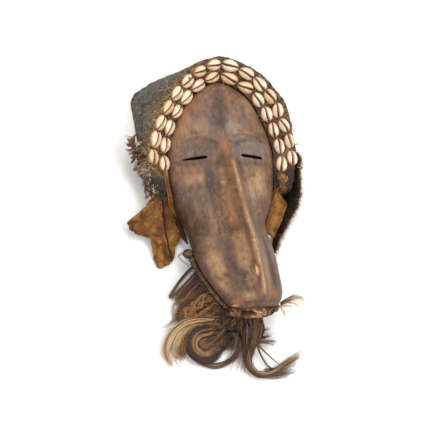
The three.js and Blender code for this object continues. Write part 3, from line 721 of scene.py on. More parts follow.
def face_masks(u, v, w, on_front):
    """Where the wood is violet, dark, rusty, pale or freshly chipped, and where shade and light are painted:
    round the eye slits, at the face's edge, in the nose's foot and the tip's crease, on the nose's flank and
    beside its crest.
    """
    here = np.stack([u, v, 0 * u], axis=-1)
    ragged = noise(here, 14, 31, 3)
    streaky = noise(here * (1.0, 0.25, 1.0), 8, 32, 3)

    def spot(cu, cv, ru, rv, blur=0.35):
        far = np.sqrt(((u - cu) / ru) ** 2 + ((v - cv) / rv) ** 2) + blur * ragged
        return 1 - smooth(far, 0.1, 1.35)

    def spots(*rows):
        """The strongest of several spots, each a strength and what spot() takes."""
        return highest(*(strength * spot(*where) for strength, *where in rows))

    side = np.abs(u)
    s = np.clip(side / np.maximum(half_width(v), 1), 0, 1)
    above = v - brow_line(u)
    beside_nose = -u - nose_half(v)
    over_eye = between(side, 4, 12, 58, 68)
    lids = over_eye * smooth(v, -16, -2) * (1 - smooth(above, -4, -1))
    crest = bump(u, -0.4, 2.0) * between(v, -184, -176, -14, -4)
    beside_crest = bump(u, -4.6, 1.5) * between(v, -182, -170, -34, -24) * smooth(streaky, -0.5, 0.3)
    brow_ridge = smooth(u, -8, -3) * (1 - smooth(side, 54, 66)) * (1 - 0.8 * smooth(side, 34, 50))
    violet = highest(
        0.85 * lids * np.where(u > 0, 1, 0.75),
        0.8 * spot(-52, -36, 14, 20, 0.6) * smooth(ragged, -0.5, 0.2),
        spots(
            (0.9, -48, -58, 24, 26, 0.6), (0.75, 46, -52, 22, 22, 0.6), (0.9, -27, 50, 24, 30, 0.5),
            (0.9, -26, -40, 14, 36, 0.4), (0.6, 26, 52, 20, 20), (0.6, -38, -120, 20, 34),
            (0.55, 24, -120, 16, 50), (0.7, -34, 26, 30, 20, 0.6),
        ),
    )
    dark = highest(
        spots(
            (0.9, -7, 56, 12, 42, 0.5), (1.1, -28, -42, 9, 36, 0.3), (0.7, -9, -4, 5, 9, 0.4),
            (0.6, -29, -145, 7, 34, 0.5), (0.5, -46, -92, 14, 22, 0.6), (0.45, -26, -168, 9, 18),
            (0.55, 30, -168, 12, 30), (0.55, -56, -75, 12, 24), (0.5, -34, 12, 20, 6, 0.7),
        ),
        # Painted shade: darker towards the face's outer edge, where the cowries and hood overlap it and the
        # surface turns away.
        0.7 * smooth(s + 0.08 * streaky, 0.86, 1.0),
        0.45 * over_eye * bump(v, -11, 5),
        0.6 * bump(u, -7 - 0.06 * (v + 100), 1.6) * between(v, -176, -160, -70, -50),
        # Painted shade in the crease where the beak turns down to its tip.
        0.55 * bump(v, -188.5, 2.0) * (1 - smooth(side, 20, 32)),
        0.5 * smooth(ragged, 0.25, 0.7),
        # Painted shade along the foot of the nose on its left side.
        0.6 * bump(beside_nose, 1.4, 1.4) * between(v, -130, -110, -34, -22),
        0.7 * beside_crest,
    ) * (1 - 0.8 * crest)
    rust = highest(
        spots(
            (0.95, -4, 15, 5, 17, 0.5), (0.5, 4, 74, 7, 12, 0.7), (0.65, -42, 62, 16, 14, 0.6),
            (0.4, -56, 40, 9, 18, 0.7), (0.75, -50, -20, 15, 9, 0.7), (0.6, -5, -24, 4, 20),
            (0.4, -13, -78, 7, 44, 0.6), (0.75, -29, -188, 10, 5, 0.5),
        ),
        0.35 * spot(-9, -92, 6, 40, 0.7) + 0.3 * spot(20, -184, 10, 8, 0.6),
        0.75 * brow_ridge * bump(above, 0.4, 1.6) * smooth(ragged, -0.9, 0.3),
        0.45 * bump(u, -5, 2.5) * between(v, -182, -170, -120, -100),
    )
    pale = highest(
        0.45 * smooth(streaky, 0.15, 0.6) * spot(-34, -60, 34, 60),
        0.6 * spot(-38, -112, 12, 22) * smooth(ragged, -0.3, 0.4),
        spots(
            (0.8, 36, -36, 18, 20, 0.6), (0.6, -44, -30, 18, 8, 0.7), (0.45, -50, 44, 14, 26, 0.7),
            (0.8, -41, -145, 9, 30, 0.5), (0.6, -14, -132, 7, 40, 0.6), (0.5, 12, -160, 6, 30, 0.6),
            (0.7, -16, -182, 16, 9, 0.5), (0.4, -40, 30, 24, 20), (0.4, 36, 66, 24, 18),
        ),
        # Painted light along the foot of the nose's left flank.
        0.5 * bump(beside_nose, -0.8, 0.9) * between(v, -120, -100, -52, -42),
    )
    pale = highest(
        pale * (1 - 0.7 * np.minimum(dark, 1)),
        crest * smooth(streaky, -0.9, 0.0),
        # Painted light on the nose's left flank, and a painted highlight in a strip just right of the crest.
        0.45 * bump(u, -14, 3.0) * between(v, -110, -70, -22, -10),
        0.5 * bump(u, 4.6, 2.6) * between(v, -150, -120, -10, 0),
    )
    ash = 0.8 * spot(9, 36, 12, 9, 0.5) + 0.35 * spot(22, -58, 10, 40, 0.6) + 0.3 * lids * (u > 0)
    slit_offset, apart = slit_place(u)
    from_slit = np.abs(v - SLIT_LINE - slit_offset) - apart / 2
    # Painted shade: the wood is darkened round each open eye slit, where the hollow behind lies in shade.
    soot = np.where(apart > OPEN_SLIT, 1 - smooth(from_slit, 0.1, 1.5), 0)
    chip = 1.3 * spot(-4.6, -152, 1.3, 6, 0.4) + 0.7 * spot(-31, -192, 2.6, 1.0, 0.5)
    chip = chip + 0.8 * spot(-14, -38, 1.2, 2.0, 0.4) + 0.8 * spot(-5, -46, 1.1, 1.6, 0.4)
    chip = chip + 0.6 * smooth(noise(here, 3.2, 33), 0.72, 0.9) * crest
    painted = dict(violet=violet, ash=ash, dark=dark, rust=rust, pale=pale, soot=soot, chip=chip)
    masks = {key: np.clip(value * on_front, 0, 1) for key, value in painted.items()}
    masks["dark"] = masks["dark"] + BACK_DARKNESS * (1 - on_front)
    masks["grain"] = np.stack([u, v, w], axis=-1)
    return masks


def face_lines():
    forehead = (FOREHEAD_LENGTH - 0.25) * np.cos(np.linspace(0, 1.4, 70, endpoint=False))
    middle = np.linspace(forehead[-1] - 1, BEAK_TIP + 6, FACE_ROWS - 100)
    tip = BEAK_TIP + 6 - 6 * np.sin(np.linspace(0, np.pi / 2, 31)[1:])
    return np.concatenate([forehead, middle, tip])


def wooden_mask():
    lines = face_lines()
    slit_row = int(np.argmin(np.abs(lines - SLIT_LINE)))
    lines[slit_row] = SLIT_LINE
    rows = np.insert(lines, slit_row, SLIT_LINE)
    last = len(rows) - 1
    sign = np.where(np.arange(len(rows)) <= slit_row, 1.0, -1.0)
    t = np.linspace(-1, 1, FACE_COLUMNS + 1)
    spread = np.sign(t) * np.sin(np.pi / 2 * np.abs(t))
    top_half, low_half = half_width(rows)[:, None], under_half(rows)[:, None]
    front_u = top_half * spread
    bend, apart = slit_place(front_u)
    from_slit = np.abs(rows - SLIT_LINE)[:, None]
    front_v = rows[:, None] + bend * (1 - smooth(from_slit, 0, 26))
    front_v = front_v + sign[:, None] * apart / 2 * (1 - smooth(from_slit, 0, 9))
    front_w = face_height(front_u, front_v) + carving(front_u, front_v) * (1 - 0.9 * np.abs(spread) ** 12)
    over_slit = smooth(apart, 0.2, 1.5) * (1 - smooth(from_slit, 0, 3.5))
    front_w = front_w + 0.7 * over_slit * smooth(from_slit, 0, 1.2)
    low_u = low_half * spread
    side_share = np.linspace(0, 1, SIDE_COLUMNS + 2)[1:-1]
    swell = 0.8 * np.sin(np.pi * side_share)

    def side(sign_of_u):
        u = sign_of_u * (top_half + (low_half - top_half) * side_share + swell)
        w = edge(rows)[:, None] - RIM_DEPTH * side_share
        return np.stack([u, np.broadcast_to(rows[:, None], u.shape), w], axis=-1)

    front = np.stack([front_u, front_v, front_w], axis=-1)
    back = np.stack([low_u, front_v, back_height(low_u, front_v, low_half)], axis=-1)[:, ::-1]
    ring = np.concatenate([front, side(1), back, side(-1)[:, ::-1]], axis=1)
    u, v, w = np.moveaxis(ring, -1, 0)
    count = ring.shape[1]
    back_start = FACE_COLUMNS + 1 + SIDE_COLUMNS
    on_front = np.zeros(u.shape)
    on_front[:, :back_start] = 1
    on_front[:, -SIDE_COLUMNS:] = 1
    faces = grid_faces(len(rows), count, closed=True).reshape(last, count, 4)
    quads = np.delete(faces, slit_row, axis=0).reshape(-1, 4)
    # Across the slit's row: the front is joined to the back round each opening.
    opening = apart[slit_row] > OPEN_SLIT
    upper = slit_row * count
    lower = upper + count
    for i in range(FACE_COLUMNS):
        back_i = back_start + FACE_COLUMNS - i
        if opening[i] or opening[i + 1]:
            walls = [
                (upper + i, upper + i + 1, upper + back_i - 1, upper + back_i),
                (lower + i + 1, lower + i, lower + back_i, lower + back_i - 1),
            ]
            quads = np.concatenate([quads, np.array(walls)])
    column = np.arange(FACE_COLUMNS)

    def end_faces(row):
        """The blunt end of a row: a strip from front to back and a small face at each side."""
        base = row * count
        opposite = back_start + FACE_COLUMNS - column
        strip = np.stack([column + 1, column, opposite, opposite - 1], axis=1) + base
        left = np.array([[0, *range(count - 1, count - 1 - SIDE_COLUMNS, -1), back_start + FACE_COLUMNS]])
        right = np.array([[FACE_COLUMNS, *range(FACE_COLUMNS + 1, back_start + 1)]])
        return [strip, left + base, right + base]

    ends = end_faces(0) + end_faces(last)
    return build("mask_wood", lying(u, v, w), [quads, *ends], WOOD, face_masks(u, v, w, on_front))


def tidy(piece, gap=0.02):
    """Welds points that lie on each other and makes all faces look outwards."""
    work = bmesh.new()
    work.from_mesh(piece.data)
    bmesh.ops.remove_doubles(work, verts=work.verts, dist=gap * MM)
    bmesh.ops.recalc_face_normals(work, faces=work.faces)
    work.to_mesh(piece.data)
    work.free()
    piece.data.update()
    return piece


def settle(piece, slot, *nodes):
    """Declares what the piece rides on and the frame nodes it stands for. The slot argument is not used."""
    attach(piece, "root")
    if nodes:
        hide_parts(*nodes)
    return piece


settle(tidy(wooden_mask()), "carved_wood", "wooden_mask")


# The hood

def arch_walk(count, half, top, end, end_half=None):
    """Even steps along the arch round the face, from the mask's right to its left."""
    end_half = half if end_half is None else end_half
    turn = np.pi * np.arange(201) / 200

    def reach(x):
        return np.sign(x) * np.abs(x) ** (2 / OUTLINE_POWER)

    fine = np.stack([-half * reach(np.cos(turn)), top * reach(np.sin(turn))], axis=1)
    fine = np.vstack([(-end_half, end), fine, (end_half, end)])
    steps = lengths(fine)
    goals = np.linspace(0, steps[-1], count)
    ahead, behind = at_lengths(fine, steps, goals + 2), at_lengths(fine, steps, goals - 2)
    return at_lengths(fine, steps, goals), unit(ahead - behind)


def band_front(rise, across):
    swell = np.sin(np.pi / 2 * np.clip(rise, 0, 1))
    inner = BAND_INNER_FRONT + BAND_INNER_SWELL * swell
    return inner + (BAND_OUTER_FRONT + BAND_OUTER_SWELL * swell - inner) * across


FLOOR_OUTLINE = [
    (-93, -44), (-97, 0), (-101, 60), (-103, 98), (-94, 111), (-56, 134), (0, 153),
    (42, 138), (76, 110), (88, 90), (94, 52), (96, 0), (94, -44),
]
HOOD_STATIONS = 37
HOOD_ROWS = 250
HOOD_COLUMNS = 76
SNUG_GAP = 0.8


def hood_net():
    inner, _ = arch_walk(HOOD_STATIONS, FACE_HALF_WIDTH + SNUG_GAP, FOREHEAD_LENGTH + SNUG_GAP, HEM,
                         edge_at(HEM)[0] + SNUG_GAP)
    outer, _ = arch_walk(HOOD_STATIONS, BAND_OUTER_HALF, BAND_OUTER_TOP, HEM, HEM_OUTER_HALF)
    floor = catmull(FLOOR_OUTLINE, HOOD_STATIONS)
    net = []
    for i in range(HOOD_STATIONS):
        (x, y), (far_x, far_y) = inner[i], outer[i]
        margin = lying(x, y, band_front(y / FOREHEAD_LENGTH, 0))
        proud = smooth(far_x, 5, 50) * smooth(far_y, 18, 52)
        front = band_front(far_y / BAND_OUTER_TOP, 1) - 3.5 * proud
        turn = lying(far_x + BAND_SHIFT + 8 * proud, far_y, front)
        out = np.array([*floor[i], 0.0])
        centred = max(0.0, math.sin(math.pi * i / (HOOD_STATIONS - 1)))
        spine = np.array([0.0, HEM + 1 + (62 - HEM - 1) * centred**1.5, 0.0])
        shoulder = turn + (out - turn) * 0.12
        shoulder[2] = turn[2] - 5
        low = out + (turn - out) * 0.18
        low[2] = min(6, turn[2] * 0.3)
        net.append([
            margin,
            margin + (turn - margin) * 0.5,
            margin + (turn - margin) * 0.96,
            shoulder,
            (shoulder + low) / 2,
            low,
            out + (spine - out) * 0.05,
            out + (spine - out) * 0.4,
            spine,
        ])
    return np.array(net)


def cloth_hood():
    grid = resample(hood_net(), HOOD_ROWS, HOOD_COLUMNS)
    across = np.linspace(0, 1, HOOD_COLUMNS)[None, :]
    height = grid[..., 2]
    on_side = smooth(height, 2, 12)
    start = grid[:, :1]
    from_margin = np.linalg.norm(grid - start, axis=-1)
    band = (1 - smooth(from_margin + 1.2 * noise(grid, 5, 41), 28, 31)) * (across < 0.5)
    band = band * smooth(grid[..., 1] + 3 * noise(grid, 6, 46), -24, -18)
    folds = 1.6 * noise(grid * (1, 1, 0.6), 34, 42, 2) + 0.6 * noise(grid, 9, 43, 2)
    pucker = 0.7 * noise(grid, 4, 44) * smooth(from_margin, 3, 8)
    move = on_side * np.where(from_margin < 31, 0.3 * folds, folds) + on_side * pucker
    grid = grid + grid_normals(grid) * move[..., None]
    hem = (1 - smooth(grid[..., 1], -40, -26)) * on_side
    # Painted shade: the hood's raised sides darken towards the hem, reaching higher on the side where x is
    # positive.
    hem_shade_line = 14 * smooth(grid[..., 0], 20, 60)
    hem_shade = (1 - smooth(grid[..., 1] - hem_shade_line + 4 * noise(grid, 9, 48), -32, -18)) * on_side
    grid[..., 1] += hem * (2.5 + 3.5 * noise(grid, 5, 47, 3))
    grid[..., 2] = np.maximum(grid[..., 2], 0)
    flat = (across > 0.6) & (height < 1.0)
    grid[..., 2] = np.where(flat, 0, grid[..., 2])
    dust = 0.7 * smooth(noise(grid, 10, 45, 3), 0.0, 0.5) * np.exp(-np.maximum(from_margin - 26, 0) / 12)
    masks = {"band": band, "dust": dust * (across < 0.6), "worn": hem_shade}
    return thick_sheet("hood_cloth_shell", grid, CLOTH, HOOD_CLOTH, masks)


hood = settle(cloth_hood(), "hood_cloth", "cloth_hood")


# The cowries

def cowrie_surface(seed):
    """One shell with its slit up: x across, y along, z up, in millimetres."""
    rng = np.random.default_rng(seed)
    across, along = COWRIE_GRID
    t = np.linspace(-1, 1, across + 1)
    a = (t * (0.4 + 0.6 * t**2))[:, None]
    b = np.sin(np.pi / 2 * np.linspace(-1, 1, along + 1))[None, :]
    x = a * np.sqrt(1 - b**2 / 2)
    y = b * np.sqrt(1 - a**2 / 2)
    radius = np.minimum(1, np.sqrt(x**2 + y**2))
    broad = 1 + rng.uniform(0.05, 0.13) * y
    place_x = x * COWRIE_WIDTH / 2 * broad * rng.uniform(1.04, 1.14)
    place_y = y * COWRIE_LENGTH / 2 * rng.uniform(1.02, 1.10)
    dome = COWRIE_HEIGHT * (1 - radius**2.4) ** 0.52 * (0.94 + 0.06 * x)
    bend = rng.uniform(0.8, 1.5) * rng.choice([1, 1, 1, -1])
    slit_x = 0.3 + bend * np.sin(2.2 * y + rng.uniform(-0.4, 0.4)) * 0.8
    from_slit = place_x - slit_x
    wide = 0.62 + 0.55 * smooth(y, -0.3, 0.95)
    ends = 1 - smooth(np.abs(y), 0.93, 1.0)
    beside = np.abs(from_slit)
    ribs = np.sin(2 * np.pi * place_y / TOOTH_PITCH)
    groove = 4.2 * bump(from_slit, 0, 1.5 * wide) * ends
    lips = 0.25 * bump(beside, 2.6, 1.1) * ends
    teeth = 0.16 * ribs * bump(beside, 1.3, 0.9) * ends
    uneven = 0.22 * noise(np.stack([place_x, place_y, 0 * place_x + 9 * seed], axis=-1), 5, 51)
    z = np.maximum(dome - groove + lips + teeth + uneven * (1 - radius**6), 0.02)
    z = np.where(radius > 0.999, 0.5, z + 0.5)
    # The lips beside the slit turn a darker tan; the slit's groove and the shell's outline carry painted
    # shade.
    lip = bump(beside, 1.5, 0.7) * ends * (0.55 + 0.2 * ribs)
    masks = {
        "tan": np.full(radius.shape, rng.choice([0.0, 0.15, 0.35, 0.7])),
        "slit": np.exp(-((from_slit / (wide * 1.05)) ** 4)) * ends,
        "lip": np.maximum(lip, 0.95 * smooth(radius, 0.82, 0.97)),
    }
    return np.stack([place_x, place_y, z], axis=-1), masks


def drill(points, masks):
    """A small round hole through the shell's back."""
    across, along, radius = -2.6, 3.2, 1.7
    far = np.hypot(points[..., 0] - across, points[..., 1] - along)
    points[..., 2] -= 1.8 * (1 - smooth(far, radius * 0.6, radius * 1.2))
    # The hole is painted dark as shade, through the slit mask.
    masks["slit"] = np.maximum(masks["slit"], 1 - smooth(far, radius * 0.75, radius * 1.15))


def cowries(row, seed):
    name, count, half, top, end = row
    rng = np.random.default_rng(seed)
    points, tangents = arch_walk(count, half, top, end)
    across = (half - BAND_INNER_HALF) / BAND_WIDTH
    for i, ((x, y), (along_x, along_y)) in enumerate(zip(points, tangents)):
        node = f"{name}_{i + 1}"
        rise = y / top
        climb = band_front(rise + along_y / top, across) - band_front(rise, across)
        slope = (band_front(rise, 1) - band_front(rise, 0)) / BAND_WIDTH
        along = unit(np.array([along_x, along_y, climb]))
        facing = unit(np.cross(unit(np.array([along_y, -along_x, -slope])), along))
        twist, lean = rng.normal(0, 0.10), rng.normal(0, 0.05)
        sideways = np.cross(along, facing)
        along = unit(along * math.cos(twist) + sideways * math.sin(twist))
        facing = unit(facing + lean * sideways)
        axes = np.array([unit(np.cross(along, facing)), along, facing])
        shell, masks = cowrie_surface(seed + i)
        if node == DRILLED_SHELL:
            drill(shell, masks)
        flip = -1 if rng.random() < 0.35 else 1
        shell = shell * rng.uniform(0.96, 1.05)
        centre = np.array([x + BAND_SHIFT, y, band_front(rise, across) + COWRIE_CLEARANCE - 0.6])

        def placed(local):
            """The shell's own points, turned and moved to its place on the band."""
            return lying(*np.moveaxis(centre + local @ axes, -1, 0)).reshape(-1, 3)

        border = border_of(*shell.shape[:2])
        top_points = placed(shell * (flip, flip, 1))
        under = placed(shell * (0.9 * flip, 0.9 * flip, 0))[border]
        low = np.arange(len(border)) + len(top_points)
        rim = np.stack([border, low, np.roll(low, -1), np.roll(border, -1)], axis=1)
        doubled = {key: np.concatenate([v.ravel(), v.ravel()[border]]) for key, v in masks.items()}
        faces = [grid_faces(*shell.shape[:2]), rim, low[None]]
        piece = build(f"{name}_shell_{i + 1}", np.concatenate([top_points, under]), faces, SHELL, doubled)
        settle(tidy(piece, 0.001), "cowrie_shell", node)


cowries(OUTER_ROW, 100)
cowries(INNER_ROW, 200)


# Threads of raffia that sew the cowries down

def fibre_piece(name, paths, radii, material, seed, sides=3):
    """Many fine fibres as one mesh; each carries its place from root to tip and a tint."""
    rng = np.random.default_rng(seed)
    points, faces, place, strand = tubes(paths, radii, sides)
    tint = rng.random(len(paths))[strand]
    return build(name, points, faces, material, {"place": place, "tint": tint})


def tapered(count, steps, root, tip):
    share = np.linspace(0, 1, steps)[None, :]
    return np.broadcast_to(root + (tip - root) * share, (count, steps))


def band_threads():
    """Tufts that stick out past the outer row, and stitches between the shells."""
    rng = np.random.default_rng(301)
    half, top, end = THREAD_ROW
    share = np.linspace(0, 1, 7)
    paths = []
    stations, tangents = arch_walk(420, half, top, end)
    while len(paths) < 620:
        i = rng.integers(len(stations))
        inside = rng.random() < 0.5
        right_side = smooth(i / len(stations), 0.3, 0.55)
        if rng.random() < (0.4 if inside else 0.85) * right_side:
            continue
        (x, y), along = stations[i], tangents[i]
        root, outward = np.array([x + BAND_SHIFT, y]), np.array([-along[1], along[0]])
        from_row = rng.uniform(-17, 4) if inside else rng.uniform(3, 8)
        length = rng.uniform(5, 11) if inside else rng.uniform(5, 15) * (1 - 0.35 * float(smooth(y, 70, 110)))
        heading = rng.uniform(0, 2 * np.pi) if inside else rng.normal(0, 0.9)
        direction = outward * math.cos(heading) + along * math.sin(heading)
        square = np.array([-direction[1], direction[0]])
        curl = rng.normal(0, 0.9)
        bend = (direction * share[:, None] + square * (curl * share**2)[:, None]) * length
        spot = root + outward * from_row + bend
        outside = (spot - root) @ outward
        across = np.clip((half - BAND_INNER_HALF + outside) / BAND_WIDTH, 0, 1)
        front = band_front(np.clip(y / top, 0, 1), across)
        lift = front + rng.uniform(0.8, 2.6) + 2.0 * np.sin(np.pi * share)
        paths.append(lying(spot[:, 0], spot[:, 1], lift - 0.75 * np.maximum(0, outside - 8)))
    paths = np.array(paths)
    radii = tapered(len(paths), len(share), 0.34, 0.12) * rng.uniform(0.7, 1.4, (len(paths), 1))
    return fibre_piece("band_threads", paths, radii, RAFFIA, 302)


settle(band_threads(), "plant_fibre")


# Leather and hide

def across_share(grid):
    """Each point's share of the way across its sheet."""
    return np.broadcast_to(np.linspace(0, 1, grid.shape[1]), grid.shape[:2])


def ragged_net(rows):
    """A coarse net from (outer, inner, sag) rows; a row without a sag is straight."""
    net = []
    share = np.linspace(0, 1, 5)[:, None]
    for outer, inner, *sag in rows:
        line = np.array(outer) + (np.array(inner, float) - outer) * share
        line[:, 2] += (sag[0] if sag else 0) * np.sin(np.pi * share[:, 0])
        net.append(line)
    return np.array(net)


def torn(grid, size, amount, seed):
    """Moves the sheet's border unevenly, as torn leather."""
    rows, columns = grid.shape[:2]
    r = np.linspace(0, 1, rows)[:, None]
    c = np.linspace(0, 1, columns)[None, :]
    near = np.maximum.reduce([np.abs(2 * c - 1) ** 8 + 0 * r, np.abs(2 * r - 1) ** 8 + 0 * c])
    centre = grid.mean(axis=(0, 1))
    outward = unit((grid - centre) * (1, 1, 0.2))
    return grid + outward * (near * amount * noise(grid, size, seed, 3))[..., None]


def leather_flap_right():
    rows = [
        ((-84, -35, 20), (-78, -12, 23)),
        ((-91, -45, 18), (-77, -32, 21), 1),
        ((-104, -59, 17), (-75, -54, 19), 2),
        ((-119, -72, 16), (-71, -69, 16), 3),
        ((-131, -82, 15), (-67, -81, 13), 3),
        ((-120, -95, 12), (-63, -93, 11), 3),
        ((-106, -98, 9), (-64, -100, 10), 3),
        ((-102, -107, 8), (-66, -107, 9), 3),
        ((-100, -121, 6), (-71, -117, 7), 2),
        ((-97, -133, 4), (-75, -127, 5), 1),
        ((-94, -138, 4), (-84, -135, 4)),
    ]
    grid = resample(ragged_net(rows), 124, 66)
    grid = torn(torn(grid, 6, 2.6, 61), 2.0, 1.8, 60)
    x, y = grid[..., 0], grid[..., 1]
    fold = x - (-84 + 5 * smooth(-y, 80, 135) + 1.2 * noise(grid, 9, 62))
    low = between(-y, 38, 52, 128, 136)
    drop = -2.6 * smooth(fold, -0.6, 0.6) * np.exp(-np.maximum(fold, 0) / 9) * low
    from_pinch = (y + 79) - 0.25 * (x + 118)
    pinch = -1.5 * bump(from_pinch, 0, 2.2) * (1 - smooth(x, -112, -104))
    creases = 0.9 * (1 - smooth(np.abs(noise(grid, 13, 68)), 0, 0.16))
    waves = 1.9 * noise(grid, 17, 63, 2) + 0.7 * noise(grid, 6, 64, 2) - creases
    grid[..., 2] = np.maximum(grid[..., 2] + drop + pinch + waves, 2.6)
    shade = highest(
        0.95 * bump(fold, 1.0, 1.8) * low + 0.72 * smooth(fold, 0, 3) * (1 - 0.75 * smooth(-y, 76, 108)),
        0.8 * bump(from_pinch, 0, 1.4) * (1 - smooth(x, -112, -106)),
        0.7 * smooth(noise(grid, 9, 65, 3), 0.25, 0.6),
        0.55 * creases,
        0.6 * smooth(np.abs(2 * across_share(grid) - 1), 0.93, 1.0),
    )
    # Painted highlight along the near edge of the fold, and lighter patches before the fold.
    glow = np.maximum(
        0.6 * bump(fold, -1.0, 0.7) * low * smooth(noise(grid, 6, 67), -0.3, 0.3),
        0.45 * smooth(noise(grid, 15, 66, 4), 0.0, 0.6) * (1 - smooth(fold, -6, 0)),
    )
    masks = {"shade": shade, "glow": glow}
    return thick_sheet("leather_wing_right", grid, LEATHER_THICKNESS, TAN_LEATHER, masks)


def leather_flap_left():
    rows = [
        ((76, -41, 22), (72, -41, 20)),
        ((80, -53, 24), (67, -53, 17)),
        ((86, -64, 25), (63, -64, 14)),
        ((80, -77, 22), (58, -76, 11)),
        ((74, -89, 19), (52, -88, 9)),
        ((68, -99, 16), (54, -95, 10)),
        ((64, -106, 14), (60, -103, 13)),
    ]
    grid = torn(resample(ragged_net(rows), 80, 50), 4, 0.7, 71)
    grid[..., 2] += 1.2 * noise(grid, 12, 72, 2)
    across = across_share(grid)
    shade = highest(
        0.8 * smooth(across, 0.72, 0.95),
        0.5 * smooth(noise(grid, 8, 73, 2), 0.2, 0.6),
        0.5 * smooth(noise(grid, 5, 74, 2), 0.25, 0.6),
    )
    # Painted highlight along the crease down the flap.
    masks = {"shade": shade, "glow": 0.5 * bump(across, 0.42, 0.16)}
    return thick_sheet("leather_wing_left", grid, LEATHER_THICKNESS, TAN_LEATHER, masks)


HIDE_ROWS = [
    ((108, 9, 36), (104, 11, 12)),
    ((114, -3, 35), (103, -5, 6)),
    ((110, -21, 33), (99, -24, 3)),
    ((109, -38, 29), (95, -44, 3)),
    ((107, -53, 24), (86, -60, 3)),
    ((100, -70, 19), (78, -76, 3)),
    ((91, -82, 15), (73, -90, 3)),
    ((82, -95, 12), (69, -103, 3)),
    ((73, -108, 10), (65, -114, 3)),
    ((65, -124, 8), (60, -125, 3)),
]


def hide_flap():
    grid = torn(resample(ragged_net(HIDE_ROWS), 130, 40), 6, 1.4, 81)
    grid = grid + grid_normals(grid) * (1.3 * noise(grid, 11, 82, 2))[..., None]
    grid[..., 2] = np.maximum(grid[..., 2], 2.7)
    # A paler brown border along the hide's outer, hairy edge.
    glow = 0.7 * (1 - smooth(across_share(grid), 0.0, 0.22))
    return thick_sheet("hide_curtain", grid, 2.4, HIDE, {"shade": 0 * glow, "glow": glow})


def hide_fringe():
    """Short hairs along the hide's outer edge, leaning one way."""
    rng = np.random.default_rng(84)
    count, steps, length = 700, 5, 5.0
    line = catmull([outer for outer, _ in HIDE_ROWS], 200)
    along = unit(np.gradient(line, axis=0))
    i = rng.integers(0, len(line), count)
    direction = unit(np.array((0.5, -0.3, 0.25)) + rng.normal(0, 0.6, (count, 3)))
    share = np.linspace(0, 1, steps)[None, :, None]
    reach = (length * rng.uniform(0.4, 1.2, count))[:, None, None]
    droop = np.array([0, 0, -0.35]) * share**2 * reach
    sway = along[i][:, None] * share**2 * reach * rng.normal(0, 0.5, (count, 1, 1))
    root = line[i] + rng.normal(0, 0.6, (count, 3))
    paths = root[:, None] + direction[:, None] * share * reach + droop + sway
    paths[..., 2] = np.maximum(paths[..., 2], 0.5)
    return fibre_piece("hide_fringe", paths, tapered(count, steps, 0.3, 0.09), BROWN_HAIR, 85)


def edge_strip(name, sign, start, end, wide, seed):
    """A narrow strip of leather that stands along the edge of the face."""
    rows = []
    for v in np.linspace(start, end, 9):
        half, top = edge_at(v)
        share = (start - v) / (start - end)
        reach = wide * (0.6 + 0.6 * share) * min(1, 6 * (1 - share) + 0.15)
        high = top - 2.5 + 9.0 * float(1 - smooth(-v, 48, 72))
        outer = lying(sign * (half + 1.0 + reach), v, high - 2.5)
        rows.append((outer, lying(sign * (half + 1.0), v, high - 0.5), 1.5))
    grid = torn(resample(ragged_net(rows), 90, 14), 4, 0.8, seed)
    grid = grid if sign < 0 else grid[:, ::-1]
    inward = across_share(grid) if sign < 0 else 1 - across_share(grid)
    low = smooth(np.linspace(0, 1, len(grid)), 0.42, 0.66)[:, None]
    shade = np.maximum(0.9 * smooth(inward, 0.7, 0.95), low)
    # A paler outer edge, fading out over the dark lower end.
    glow = 0.7 * (1 - smooth(inward, 0.05, 0.3)) * (1 - low)
    return thick_sheet(name, grid, 1.4, TAN_LEATHER, {"shade": shade, "glow": glow})


def tangle(name, centres, radius, count, thickness, material, seed):
    """Lumps of matted fibre."""
    rng = np.random.default_rng(seed)
    turn = np.linspace(0, 1, 8)[:, None]
    paths = []
    for centre in centres:
        for _ in range(count):
            start, bend, turned = rng.normal(0, 0.55 * radius, (3, 3))
            path = start + bend * np.sin(np.pi * turn) + turned * np.sin(2 * np.pi * turn) * 0.6
            paths.append(np.array(centre) + path * (0.85, 1, 0.55))
    paths = np.array(paths)
    paths[..., 2] = np.maximum(paths[..., 2], 1.0)
    return fibre_piece(name, paths, np.full(paths.shape[:2], thickness), material, seed + 1)


right_flap = settle(leather_flap_right(), "tan_leather", "leather_flap_right")
settle(edge_strip("leather_strip_right", -1, -14, -112, 7.5, 86), "tan_leather")
settle(edge_strip("leather_strip_left", 1, -40, -100, 3.0, 87), "tan_leather")
RIGHT_LUMPS = [(-86, -22, 25), (-88, -31, 22), (-82, -37, 21), (-84, -47, 18)]
LEFT_LUMPS = [(80, -27, 33), (83, -40, 27), (78, -45, 23)]
TIP_LUMPS = [(-29, -203, 34), (-26, -209, 30), (-22, -214, 29), (-14, -218, 31)]
settle(tangle("temple_tangle", RIGHT_LUMPS, 6.0, 110, 0.4, DARK_CORD, 88), "plant_fibre")
settle(tangle("temple_fibres", LEFT_LUMPS, 4.6, 60, 0.3, CORD, 90), "plant_fibre")
settle(tangle("tip_fibres", TIP_LUMPS, 4.6, 60, 0.3, DARK_CORD, 112), "plant_fibre")
left_flap = settle(leather_flap_left(), "tan_leather", "leather_flap_left")
curtain = settle(hide_flap(), "dark_hide", "hide_flap")
curtain_edge = settle(hide_fringe(), "beard_hair")


# The skin and binding under the beak

